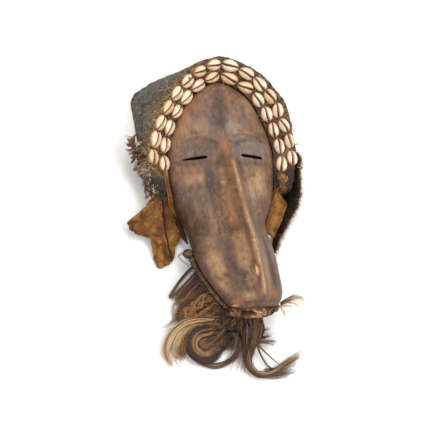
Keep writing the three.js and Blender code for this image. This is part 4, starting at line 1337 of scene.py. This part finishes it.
def beard_skin():
    """The hide that carries the beard: under the beak, and turned up at both its sides."""
    gap, side_gap, thickness = 1.7, 2.7, 3.0
    net = []
    for v in np.linspace(-122, BEAK_TIP + 2.5, 50):
        half, top = edge_at(v)
        low, side, under = top - RIM_DEPTH - gap, half + side_gap, float(under_half(np.array(v)))
        flank = [(side, low + 6), ((side + under) / 2, low + 1), (under, low)]
        across = [(-u, w) for u, w in flank] + [(0, low - 1)] + flank[::-1]
        net.append(catmull([lying(u, v, w) for u, w in across], 44))
    grid = np.array(net)
    normal = grid_normals(grid)
    sign = 1.0 if normal[25, 22, 2] > 0 else -1.0
    grid = grid - normal * sign * (0.4 * np.abs(noise(grid, 8, 91)))[..., None]
    bare = np.zeros(grid.shape[:2])
    return thick_sheet("beard_hide", grid, sign * thickness, HIDE, {"shade": bare, "glow": bare})


def tip_binding():
    half = float(half_width(np.array(BEAK_TIP)))
    net = []
    for u in np.linspace(-half, half, 13) * 1.04:
        inside = min(abs(u), half * 0.97)
        top = float(face_height(np.array(inside), np.array(BEAK_TIP + 0.5)))
        side = abs(u) / half
        line = [(0.5, top - 1.6), (-2.4, top - 3.4), (-7.5, top - 8)]
        line += [(-10, (top + 50) / 2), (-9, 55), (-5, 48)]
        net.append([lying(u * 1.02, BEAK_TIP + ahead * (1 - 0.45 * side**4), w) for ahead, w in line])
    grid = resample(np.array(net), 150, 60)
    normal = grid_normals(grid)
    outward = normal * np.where(normal[..., 1:2] > 0, -1, 1)
    here = grid * (0.7, 1, 1)
    creases = 1 - np.abs(noise(here, 5.5, 93, 2)) * 2.6
    folds = 1.7 * creases + 1.2 * noise(here, 2.6, 94, 2) + 1.6 * noise(grid, 18, 96)
    start = smooth(np.linspace(0, 1, 60), 0.0, 0.12)[None, :]
    grid = grid + outward * (0.4 + start * (0.9 + folds))[..., None]
    grid = torn(grid, 5, 3.5, 95)
    shade = highest(
        0.9 * (1 - smooth(folds, -1.0, 0.9)),
        0.75 * (1 - start),
        0.6 * smooth(noise(grid, 4, 97, 3), 0.2, 0.5),
    )
    # Painted highlights on the crests of the crumpled folds.
    glow = 0.8 * smooth(folds, 0.8, 2.2) * start
    facing = 1.0 if normal[75, 30, 1] < 0 else -1.0
    return thick_sheet("tip_wrap", grid, facing * LEATHER_THICKNESS, BINDING, {"shade": shade, "glow": glow})


def beak_braid():
    """Three strands twisted round each other along the beak's edge."""
    radius, swing, turns, steps = 0.55, 0.6, 14, 160
    v = np.linspace(-130, BEAK_TIP + 1, 16)
    middle = catmull(lying(-(half_width(v) + 4.0), v, edge(v) - 3.6), steps)
    one, two = side_axes(unit(np.gradient(middle, axis=0)))
    paths = []
    for strand in range(3):
        phase = 2 * np.pi * (strand / 3 + turns * np.linspace(0, 1, steps))[:, None]
        paths.append(middle + one * swing * np.cos(phase) + two * swing * np.sin(phase))
    return fibre_piece("beak_braid", np.array(paths), np.full((3, steps), radius), DARK_CORD, 96, 7)


def beak_strip():
    """The strip that the beard hangs from, close along the beak's edge."""
    rows = []
    for v in np.linspace(-124, BEAK_TIP + 1, 10):
        half, top = edge_at(v)
        rows.append((lying(-(half + 4.4), v, top - 6.0), lying(-(half + 0.3), v, top - 2.2), 0.6))
    grid = torn(resample(ragged_net(rows), 110, 14), 3, 0.6, 99)
    across = across_share(grid)
    shade = np.maximum(0.9 * smooth(across, 0.78, 0.98), 0.6 * smooth(noise(grid, 5, 100), 0, 0.5))
    # A paler outer edge.
    glow = 0.3 * (1 - smooth(across, 0, 0.3))
    return thick_sheet("beak_strip", grid, 1.2, BINDING, {"shade": shade, "glow": glow})


def beak_stitches():
    """Stitches over the strip, and short broken fibres at its border."""
    rng = np.random.default_rng(110)
    paths = []
    for v in np.linspace(-130, BEAK_TIP + 2, 26):
        half, top = edge_at(v)
        reach = rng.uniform(2.5, 5.5)
        line = [
            lying(-(half + 1.2), v, top - 2.8),
            lying(-(half + 3.0), v + rng.normal(0, 0.5), top - 2.4),
            lying(-(half + 3.0 + reach), v + rng.normal(-1, 1.2), top - 6 - reach * 0.6),
        ]
        paths.append(catmull(line, 8))
    return fibre_piece("beak_stitches", np.array(paths), np.full((26, 8), 0.38), DARK_CORD, 111, 5)


def fibre_ball(name, centre, radius, count, thickness, material, seed):
    """A knot: loops of fibre wound at random round a small core."""
    rng = np.random.default_rng(seed)
    steps, squash = 18, 0.85
    turn = np.linspace(0, 2 * np.pi, steps)
    paths = []
    for _ in range(count):
        pole = unit(rng.normal(0, 1, 3))
        one = unit(np.cross(pole, rng.normal(0, 1, 3)))
        two = np.cross(pole, one)
        size = radius * rng.uniform(0.55, 1.0)
        offset = pole * rng.uniform(-0.4, 0.4) * radius
        sweep = turn * rng.uniform(0.5, 0.95) + rng.uniform(0, 6)
        path = offset + (one * np.cos(sweep)[:, None] + two * np.sin(sweep)[:, None]) * size
        paths.append(path * (1, 1, squash) + centre)
    return fibre_piece(name, np.array(paths), np.full((count, steps), thickness), material, seed + 1, 5)


settle(beard_skin(), "dark_hide", "beard_skin")
settle(tip_binding(), "tan_leather", "tip_binding")
settle(beak_braid(), "plant_fibre", "beak_lacing")
settle(beak_strip(), "tan_leather")
settle(beak_stitches(), "plant_fibre")
temple_ball = fibre_ball("temple_knot_fibres", lying(77.0, -31.5, 20.0), 6.8, 90, 0.5, CORD, 97)
settle(temple_ball, "plant_fibre", "temple_knot")
lacing_ball = fibre_ball("lacing_knot_fibres", lying(-61.5, -125.0, 24.0), 5.6, 46, 0.9, DARK_CORD, 98)
settle(lacing_ball, "plant_fibre", "lacing_knot")


# Feathers

def feather_tuft():
    """A bundle of small frayed feathers: flat blades, loose barbs, down and quills."""
    rng = np.random.default_rng(401)
    spine = catmull([(-92, -50, 16), (-94, -36, 20), (-98, -12, 25), (-102, 10, 28), (-104, 30, 30)], 60)
    steps = 10
    share, short = np.linspace(0, 1, steps)[:, None], np.linspace(0, 1, 5)[:, None]
    swell = np.sin(np.pi * (0.08 + 0.88 * share[:, 0])) ** 0.7
    strands = {"blade": [], "hair": []}

    def add(kind, path, width, tint, rust):
        strands[kind].append((path, width, tint, rust))

    for _ in range(210):
        k = rng.integers(0, 60)
        out = rng.random()
        slim = 0.25 + 0.75 * float(smooth(k, 6, 36))
        base = spine[k] + rng.normal(0, 1, 3) * (2.5, 2.5, 1.5) + np.array([-9.0, 0, -1.5]) * out * slim
        heading = unit(rng.normal((-0.55, -0.6, -0.05), (0.3, 0.5, 0.25)) * (slim, 1, 1))
        length = rng.uniform(6, 16) * (1 - 0.3 * out) * (0.35 + 0.65 * slim)
        bow = unit(np.cross(heading, rng.normal(0, 1, 3))) * length * rng.uniform(0.1, 0.6)
        path = base + heading * share * length + bow * share**2
        tint = rng.choice([0.02, 0.15, 0.4, 0.85], p=[0.34, 0.32, 0.22, 0.12])
        rust = rng.choice([0.0, 0.5, 0.9], p=[0.35, 0.3, 0.35]) * (tint < 0.5)
        add("blade", path, rng.uniform(0.7, 2.3) * swell, tint, rust)
        for _ in range(9):
            at = path[rng.integers(1, steps)]
            aim = unit(heading + rng.normal(0, 0.8, 3))
            add("hair", at + aim * short * rng.uniform(1.5, 4.5), 0.22 * (1 - 0.6 * short[:, 0]), tint, rust)
    for centre in ((-104, -15, 26), (-98, -20, 26), (-92, -40, 21)):
        for _ in range(70):
            aim = unit(rng.normal(0, 1, 3) * (1, 1, 0.5))
            curl = rng.normal(0, 1.5, 3) * short**2
            path = np.array(centre) + rng.normal(0, 2.2, 3) + aim * short * rng.uniform(2, 5) + curl
            add("hair", path, np.full(len(short), 0.3), rng.uniform(0.7, 1.0), 0.0)
    quills = [
        ([(-107, 34, 29), (-103, 18, 28), (-100, 0, 27), (-99, -16, 25)], 1.5, 0.0, 0.7),
        ([(-104, 30, 28), (-102, 12, 28), (-99, -6, 26), (-98, -22, 23)], 1.3, 0.1, 0.9),
        ([(-113, -8, 23), (-107, -20, 21), (-101, -32, 19), (-96, -42, 17)], 0.9, 0.3, 0.8),
        ([(-108, -14, 23), (-103, -25, 21), (-98, -35, 20), (-95, -43, 19)], 0.8, 0.9, 0.0),
        ([(-101, -24, 22), (-103, -34, 20), (-103, -43, 17), (-98, -47, 15), (-94, -42, 17)], 0.8, 0.05, 0.3),
        ([(-117, 4, 22), (-111, 2, 24), (-104, -2, 26), (-99, -8, 26)], 1.4, 0.0, 0.2),
        ([(-116, -12, 19), (-110, -12, 22), (-104, -16, 24), (-98, -22, 24)], 1.3, 0.0, 0.3),
        ([(-116, 12, 25), (-110, 8, 27), (-104, 2, 28), (-100, -6, 27)], 1.2, 0.05, 0.6),
    ]
    for line, width, tint, rust in quills:
        for shift in rng.normal(0, 0.7, (3, 3)):
            add("blade", catmull(np.array(line, float) + shift, steps), width * swell, tint, rust)
    parts, tints, rusts = [], [], []
    for kind, squash, sides in (("blade", 0.22, 4), ("hair", 1.0, 3)):
        paths, widths, tint, rust = (np.array(values) for values in zip(*strands[kind]))
        paths[..., 2] = np.maximum(paths[..., 2], 1.0)
        points, faces, _, strand = tubes(paths, widths, sides, squash)
        parts.append((points, faces))
        tints.append(tint[strand])
        rusts.append(rust[strand])
    masks = {"tint": np.concatenate(tints), "rust": np.concatenate(rusts)}
    return build("feather_bundle", *joined(parts), FEATHERS, masks)


settle(feather_tuft(), "feathers", "feather_tuft")


# The beard

def lock(path, count, root, tip, rng, steps, wave=0.0, wavelength=18.0, flat=0.7, shorten=0.35, stray=0.06,
         strand=8, gather=0.5, tone=0.0, begin=0.06):
    """Hairs that follow a path in small strands: they start within root and end within tip mm of it."""
    line = catmull(path, 64)
    one, two = side_axes(unit(np.gradient(line, axis=0)))
    length = lengths(line)[-1]
    strands = max(3, count // strand)
    member = rng.integers(0, strands, count)

    def shared(low, high):
        return rng.uniform(low, high, strands)[member]

    angle, reach = shared(0, 2 * np.pi), np.sqrt(shared(0, 1))
    a, b = reach * np.cos(angle), reach * np.sin(angle) * flat
    loose = rng.normal(0, 1, (2, count, 1))
    far = rng.normal(0, 1, (strands, 2))[member] * 0.7 + rng.normal(0, 1, (count, 2)) * 0.7
    far = far * stray * length
    start = rng.uniform(0, begin, count)
    end = 1 - shorten * np.maximum(shared(0, 1) ** 1.5, 0.6 * rng.random(count) ** 2)
    share = start[:, None] + (end - start)[:, None] * np.linspace(0, 1, steps)[None]
    index = share * (len(line) - 1)
    low = np.clip(index.astype(int), 0, len(line) - 2)
    part = (index - low)[..., None]

    def at(values):
        return values[low] * (1 - part) + values[low + 1] * part

    radius = root + (tip - root) * share**0.8
    phase = (shared(0, 2 * np.pi) + rng.normal(0, 0.35, count))[:, None]
    size = wave * (0.5 + shared(0, 1))[:, None]
    wavelength = wavelength * (0.65 + 0.8 * shared(0, 1))[:, None]
    swing = size * np.sin(2 * np.pi * share * length / wavelength + phase) * share**0.5
    swing_two = size * 0.6 * np.cos(2 * np.pi * share * length / (wavelength * 1.3) + 2 * phase) * share**0.5
    close = gather * (1 - 0.3 * share)
    side = a[:, None] * radius + far[:, :1] * share**2 + swing + loose[0] * close
    lift = b[:, None] * radius + 0.4 * np.abs(far[:, 1:]) * share**2 + swing_two + loose[1] * close * 0.8
    paths = at(line) + at(one) * side[..., None] + at(two) * lift[..., None]
    paths[..., 2] = np.maximum(paths[..., 2], 0.6)
    streak = 0.5 + 0.5 * np.sin(a * (root + tip) + rng.uniform(0, 2 * np.pi))
    mixed = 0.5 * streak + 0.5 * shared(0, 1)
    tint = 0.95 * smooth(mixed + tone, 0.2, 0.8) + rng.uniform(-0.10, 0.18, count)
    return paths, np.clip(tint, 0, 1)


def hair_piece(name, material, seed, locks, *nodes, radius=0.27, steps=14, **shared):
    """One piece of several locks; shared options hold for each lock that doesn't set its own."""
    rng = np.random.default_rng(seed)
    made = [lock(path, rng=rng, steps=steps, **{**shared, **own}) for path, own in locks]
    paths = np.concatenate([paths for paths, _ in made])
    tint = np.concatenate([tint for _, tint in made])
    radii = tapered(len(paths), steps, radius, radius * 0.35) * rng.uniform(0.6, 1.4, (len(paths), 1))
    points, faces, place, strand = tubes(paths, radii)
    piece = build(name, points, faces, material, {"place": place, "tint": tint[strand]})
    return settle(piece, "beard_hair", *nodes)


def hairs(count, root, tip, *path, **own):
    """A lock: its number of hairs, its spread at root and tip, the points it runs through, its options."""
    return np.array(path, float), {"count": count, "root": root, "tip": tip, **own}


SWIRL_CENTRE = (-52.0, -238.0)
# Options of the flat, close locks that the swirl's rings are made of.
RING = {"flat": 0.4, "stray": 0.016, "shorten": 0.22, "strand": 4, "gather": 0.3, "wave": 0.25}


def curl(radius, start, end, high, low, shrink, aside=(0, 0)):
    """An arc of the swirl, in degrees from the viewer's right, sinking and closing as it goes."""
    turn = np.radians(np.linspace(start, end, 9))
    size = radius * np.linspace(1, shrink, 9)
    x = SWIRL_CENTRE[0] + aside[0] + size * np.cos(turn)
    y = SWIRL_CENTRE[1] + aside[1] + 0.92 * size * np.sin(turn)
    return list(np.stack([x, y, np.linspace(high, low, 9)], axis=1))


hair_piece("beard_straight_edge", DARK_HAIR, 501, [
    hairs(120, 1.3, 1.6, (-53, -142, 26), (-63, -149, 18), (-75, -161, 11), (-83, -171, 7), (-87, -178, 4),
          stray=0.02, shorten=0.12, tone=-0.3),
    hairs(60, 1.0, 1.2, (-50, -146, 24), (-60, -156, 17), (-70, -165, 11), (-80, -174, 6), (-86, -179, 4),
          stray=0.025, shorten=0.3, tone=-0.2),
], steps=8)
hair_piece("beard_straight_hair", BROWN_HAIR, 503, [
    hairs(90, 3, 4, (-48, -148, 24), (-58, -160, 17), (-69, -171, 10), (-80, -183, 5), tone=-0.2),
    hairs(140, 5, 6, (-43, -155, 24), (-55, -165, 16), (-67, -175, 10), (-79, -187, 4), tone=-0.2),
    hairs(140, 5, 6, (-38, -166, 24), (-49, -174, 16), (-62, -182, 10), (-76, -191, 4), tone=-0.15),
    hairs(110, 5, 7, (-34, -177, 24), (-44, -183, 16), (-56, -189, 11), (-70, -197, 5), wave=0.8,
          tone=-0.1),
], "beard_lock_straight", steps=9, shorten=0.3)
hair_piece("beard_curled_hair", BROWN_HAIR, 505, [
    hairs(170, 5, 8, (-34, -180, 22), (-50, -186, 14), (-62, -190, 10), (-70, -198, 7), (-62, -206, 6),
          (-54, -202, 7), wave=3.0, wavelength=12),
    hairs(150, 5, 8, (-30, -186, 22), (-44, -192, 14), (-58, -196, 9), (-72, -200, 6), (-80, -208, 3),
          wave=2.8, wavelength=11),
    hairs(150, 5, 7, (-36, -172, 22), (-52, -180, 14), (-66, -186, 9), (-78, -194, 5), (-76, -206, 3),
          wave=2.6, wavelength=13),
], "beard_lock_curled", strand=6, gather=0.25, tone=-0.3)
hair_piece("beard_light_curls", BROWN_HAIR, 529, [
    hairs(66, 6, 8, (-40, -178, 27), (-56, -188, 18), (-68, -197, 13), (-82, -206, 8), wave=3.4,
          wavelength=10),
    hairs(66, 6, 8, (-34, -186, 28), (-52, -196, 18), (-66, -203, 12), (-78, -213, 7), wave=3.4,
          wavelength=10),
    hairs(54, 5, 7, (-30, -194, 28), (-46, -203, 18), (-58, -208, 13), (-70, -214, 9), wave=3.2,
          wavelength=9),
], radius=0.29, steps=18, strand=6, gather=0.3, tone=0.3)
hair_piece("beard_sweep_gold", GOLD_HAIR, 507, [
    hairs(230, 4.4, 4.6, (-32, -214, 22), (-49, -210, 15), (-63, -209, 13), (-78, -213, 12), (-92, -224, 9),
          (-100, -239, 6), (-98, -253, 3), (-91, -261, 2), shorten=0.35, stray=0.025),
    hairs(190, 4.4, 5, (-34, -217, 20), (-49, -214, 14), (-67, -214, 12), (-81, -223, 11), (-89, -237, 8),
          (-87, -252, 3), shorten=0.4, stray=0.03),
], "beard_lock_sweep", steps=14, strand=5, gather=0.35, begin=0.3)
hair_piece("beard_sweep_brown", BROWN_HAIR, 509, [
    hairs(190, 5, 6, (-34, -220, 22), (-47, -217, 15), (-60, -218, 12), (-72, -226, 9), (-81, -239, 7),
          (-83, -250, 4), (-77, -256, 2), wave=0.8),
    hairs(130, 5, 6, (-30, -210, 24), (-44, -206, 16), (-58, -204, 12), (-72, -208, 8), (-82, -216, 5),
          wave=1.4, strand=5, gather=0.4),
])
hair_piece("beard_swirl_hair", DARK_HAIR, 511, [
    hairs(120, 2.4, 2.8, (-19, -220, 26), (-30, -219, 22), *curl(21, 105, 330, 16, 7, 0.95)),
    hairs(80, 2.0, 1.8, (-14, -228, 24), (-28, -224, 21), *curl(15, 95, 300, 16, 8, 0.9, (-1, 1))),
    hairs(54, 1.4, 1.4, (-18, -236, 20), (-33, -229, 17), *curl(9.5, 75, 330, 14, 9, 0.8, (1, 0))),
    hairs(80, 2.0, 2.0, *curl(24, 150, 345, 9, 5, 0.98)),
], "beard_lock_swirl", steps=18, **RING, tone=-0.3)
hair_piece("beard_swirl_core", GOLD_BROWN_HAIR, 513, [
    hairs(60, 1.4, 1.8, (-16, -224, 26), (-29, -221, 22), *curl(18.0, 100, 305, 16, 7, 0.92, (1, -1)),
          **RING, tone=0.3),
    hairs(60, 1.8, 1.6, (-15, -233, 22), (-30, -226, 19), *curl(12.0, 90, 350, 15, 8, 0.86, (-1, -1)),
          **RING, tone=0.3),
    hairs(44, 1.3, 1.0, *curl(6.4, 60, 350, 13, 9, 0.75), **RING, tone=0.3),
    hairs(26, 1.0, 0.8, *curl(3.0, 60, 380, 11, 9, 0.5), **RING, tone=0.3),
    hairs(50, 6, 9, (-22, -226, 22), (-38, -236, 15), (-50, -243, 11), (-66, -246, 8), wave=2, strand=2),
], radius=0.24, steps=17)
hair_piece("beard_swirl_under", BROWN_HAIR, 514, [
    hairs(150, 8, 11, (-28, -222, 16), (-42, -230, 8), (-54, -238, 4), (-64, -248, 2)),
    hairs(90, 7, 8, (-20, -232, 14), (-32, -244, 6), (-42, -252, 3), (-48, -258, 2)),
], steps=10, radius=0.32, flat=0.25, wave=1.5, shorten=0.5, tone=-0.3)
hair_piece("beard_loop_hair", DARK_HAIR, 515, [
    hairs(90, 2.6, 1.6, (-7, -235, 24), (-8, -245, 14), (-13, -256, 7), (-25, -263, 4), (-39, -266, 3),
          (-52, -263, 3), (-66, -256, 4), stray=0.012, shorten=0.2, strand=6, gather=0.35),
    hairs(40, 1.6, 1.4, (-10, -240, 20), (-13, -250, 10), (-22, -258, 6), (-36, -262, 5), (-50, -260, 4),
          (-62, -253, 5), stray=0.02, shorten=0.2, strand=5, gather=0.3),
    hairs(130, 6, 5, (-11, -215, 33), (-10, -227, 24), (-5, -240, 15), (-10, -250, 8), wave=1.0),
    hairs(100, 5, 5, (-21, -222, 28), (-26, -232, 20), (-20, -242, 12), (-14, -250, 7), wave=1.2),
    hairs(90, 1.6, 1.4, (-26, -226, 24), (-22, -234, 27), (-15, -232, 28), (-15, -225, 27), (-21, -223, 27),
          (-25, -228, 28), tone=-0.6, shorten=0.1, stray=0.01, gather=0.3),
], "beard_lock_loop", steps=13)
hair_piece("beard_front_hair", DARK_HAIR, 517, [
    hairs(230, 4.4, 3.0, (-6, -222, 34), (-5, -236, 24), (-3, -250, 14), (-2, -262, 8), (4, -274, 6),
          (15, -281, 5), (32, -279, 5), (50, -271, 5), (68, -262, 5), (80, -258, 5), shorten=0.55,
          stray=0.02, strand=6, gather=0.3),
    hairs(130, 3.4, 2.0, (2, -220, 30), (1, -230, 22), (5, -242, 14), (4, -254, 9), (4, -265, 6),
          (10, -276, 5), (24, -281, 4), (40, -282, 3), (54, -280, 3), (66, -277, 3), shorten=0.6,
          stray=0.02, strand=6, gather=0.3),
    hairs(130, 6, 4, (4, -216, 34), (7, -228, 24), (5, -241, 15), (4, -250, 10), wave=0.8),
], "beard_lock_front", steps=15)
hair_piece("beard_front_gold", GOLD_HAIR, 519, [
    hairs(64, 2.8, 2.8, (0, -226, 30), (0, -240, 19), (2, -252, 12), (3, -263, 9), (8, -274, 8),
          (17, -279, 7), (32, -278, 7), (49, -270, 6), (67, -261, 6), (82, -256, 5), shorten=0.5,
          stray=0.02, strand=4, gather=0.25, tone=-0.25),
    hairs(24, 1.4, 3.4, (42, -275, 5), (54, -268, 5), (68, -262, 5), (81, -260, 4), stray=0.07, gather=0.3),
], steps=17)
hair_piece("beard_root_mass", DARK_HAIR, 527, [
    hairs(70, 5, 7, (-29, -198, 28), (-40, -201, 20), (-54, -204, 14), (-69, -209, 9), wave=2.0,
          wavelength=12),
    hairs(80, 5, 7, (-25, -205, 30), (-39, -211, 19), (-54, -214, 13), (-68, -220, 8), wave=2.2,
          wavelength=11),
    hairs(80, 5, 7, (-21, -210, 32), (-34, -220, 19), (-46, -226, 12), (-54, -234, 5), wave=2.2,
          wavelength=12),
    hairs(80, 5, 6, (-18, -212, 34), (-28, -230, 17), (-33, -240, 10), (-31, -250, 5), wave=1.6,
          wavelength=14),
    hairs(90, 5, 5, (-16, -206, 38), (-14, -224, 25), (-14, -235, 18), (-11, -249, 12)),
    hairs(90, 5, 5, (-8, -206, 40), (-5, -225, 27), (-5, -236, 19), (-7, -249, 12)),
    hairs(90, 5, 5, (2, -206, 40), (5, -226, 28), (3, -239, 20), (-2, -252, 14)),
    hairs(60, 3.4, 3.0, (12, -205, 42), (17, -224, 30), (14, -236, 22), (6, -248, 15)),
    hairs(80, 9, 7, (-4, -208, 34), (0, -224, 22), (0, -237, 15), (-2, -250, 10), flat=0.4),
    hairs(100, 8, 5, (7, -207, 38), (11, -223, 27), (9, -236, 18), (3, -247, 11), wave=1.0, flat=0.6),
    hairs(90, 7, 7, (-22, -206, 33), (-24, -218, 25), (-22, -228, 20), (-18, -240, 14), wave=2.0,
          wavelength=10),
], radius=0.34, steps=9, wave=0.8)
hair_piece("beard_side_hair", DARK_HAIR, 521, [
    hairs(120, 3.4, 2, (14, -219, 34), (19, -227, 27), (18, -235, 20), (11, -244, 14), (6, -255, 8),
          (3, -264, 5), stray=0.02),
    hairs(20, 1.3, 0.9, (13, -236, 20), (17, -245, 12), (28, -256, 8), (39, -266, 6), (50, -276, 4),
          (59, -278, 3), stray=0.015, gather=0.3),
    hairs(18, 1.4, 1.2, (12, -240, 18), (19, -254, 8), (29, -270, 4), (44, -279, 3), (60, -278, 3),
          stray=0.02),
    hairs(44, 1.6, 3.0, (12, -238, 22), (25, -236, 17), (36, -232, 14), stray=0.09, strand=4),
    hairs(44, 1.6, 3.0, (13, -242, 18), (28, -241, 13), (44, -243, 9), stray=0.09, strand=4),
    hairs(24, 1.6, 2.6, (11, -233, 22), (24, -230, 18), (36, -226, 15), stray=0.09, strand=4),
], "beard_lock_side", steps=12)
hair_piece("beard_wisp_hair", GOLD_HAIR, 523, [
    hairs(40, 1.5, 2.6, (37, -205, 50), (46, -202, 52), (58, -198, 52), (68, -198, 51), (73, -203, 49),
          stray=0.06),
    hairs(26, 1.2, 2.0, (36, -207, 48), (47, -207, 48), (56, -209, 47), stray=0.08),
    hairs(26, 1.2, 2.4, (37, -204, 51), (50, -198, 54), (62, -195, 55), stray=0.08),
    hairs(26, 1.2, 2.6, (36, -206, 50), (47, -203, 49), (60, -204, 46), (68, -208, 44), stray=0.07),
    hairs(20, 1.0, 2.2, (39, -208, 46), (45, -214, 40), (49, -219, 34), stray=0.1),
], "beard_lock_wisp", radius=0.2, steps=12)
hair_piece("beard_stray_hair", DARK_HAIR, 525, [
    hairs(9, 1.0, 1.6, (-64, -125, 24), (-71, -126, 14), (-63, -134, 10), (-54, -143, 14), stray=0.03),
    hairs(60, 8, 14, (-40, -178, 24), (-58, -196, 10), (-84, -214, 4), (-104, -222, 1), stray=0.08,
          strand=2),
    hairs(60, 10, 18, (0, -235, 20), (-10, -258, 8), (-20, -276, 2), stray=0.10, strand=2),
    hairs(60, 10, 16, (-30, -214, 24), (-60, -228, 10), (-86, -252, 2), stray=0.08, strand=2),
    hairs(30, 3, 9, (20, -276, 6), (45, -276, 5), (74, -266, 4), stray=0.08, strand=2),
], radius=0.18, steps=12)


# The table, light and camera

CAMERA_TURN = math.radians(22)
CAMERA_DIP = math.radians(6)
CAMERA_ROLL = math.radians(-3.5)
CAMERA_FOCAL = 919.0
PICTURE = 432.0
MM_PER_PIXEL = 1.28
CAMERA_TARGET = np.array([-11.3, -76.0, 0.0])
LIGHT_TARGET = (0, -0.05, 0)
SKY_STRENGTH = 0.68
FLOOR_HALF = 3000.0


def turned(direction):
    """A direction of the mask's frame as it lies on the table."""
    return laid(*direction) - laid(0, 0, 0)


def set_camera():
    across = np.array([math.cos(CAMERA_TURN), 0, math.sin(CAMERA_TURN)])
    up = np.array([
        -math.sin(CAMERA_TURN) * math.sin(CAMERA_DIP),
        math.cos(CAMERA_DIP),
        math.cos(CAMERA_TURN) * math.sin(CAMERA_DIP),
    ])
    back = np.cross(across, up)
    right = across * math.cos(CAMERA_ROLL) + up * math.sin(CAMERA_ROLL)
    top = up * math.cos(CAMERA_ROLL) - across * math.sin(CAMERA_ROLL)
    place = CAMERA_TARGET + back * CAMERA_FOCAL * MM_PER_PIXEL
    lens = bpy.data.cameras.new("camera")
    lens.sensor_width = 36
    lens.lens = lens.sensor_width * CAMERA_FOCAL / PICTURE
    lens.clip_end = 20
    camera = bpy.data.objects.new("camera", lens)
    bpy.context.scene.collection.objects.link(camera)
    matrix = Matrix.Identity(4)
    for column, axis in enumerate((turned(right), turned(top), turned(back), laid(*place) * MM)):
        for row in range(3):
            matrix[row][column] = axis[row]
    camera.matrix_world = matrix
    bpy.context.scene.camera = camera


def area_light(name, place, size, power):
    lamp = bpy.data.lights.new(name, "AREA")
    lamp.shape = "DISK"
    lamp.size = size
    lamp.energy = power
    light = bpy.data.objects.new(name, lamp)
    bpy.context.scene.collection.objects.link(light)
    light.location = place
    light.rotation_mode = "QUATERNION"
    light.rotation_quaternion = (Vector(LIGHT_TARGET) - Vector(place)).to_track_quat("-Z", "Y")


def stage():
    paint = Paint("table_top", 0.8)
    speck = paint.noise(30, 3, 0.5)
    shade = paint.ramp(speck, (0.3, srgb(222, 219, 216)), (0.7, srgb(225, 222, 219)))
    material = paint.finish(shade, 0.8, paint.relief(speck, 0.02, 0.0005))
    corners = FLOOR_HALF * np.array([(-1, -1, 0), (1, -1, 0), (1, 1, 0), (-1, 1, 0)])
    floor = build("table_top", corners, [np.array([[0, 1, 2, 3]])], material)
    area_light("key_light", (0.75, -0.2, 1.5), 1.3, 20)
    area_light("fill_light", (-1.2, -0.6, 1.3), 1.2, 17)
    area_light("top_light", (-0.2, 0.9, 1.6), 1.0, 13)
    world = bpy.data.worlds.new("studio")
    world.use_nodes = True
    sky = world.node_tree.nodes["Background"]
    sky.inputs["Color"].default_value = (1, 1, 1, 1)
    sky.inputs["Strength"].default_value = SKY_STRENGTH
    bpy.context.scene.world = world
    bpy.context.scene.view_settings.view_transform = "Standard"


set_camera()
stage()
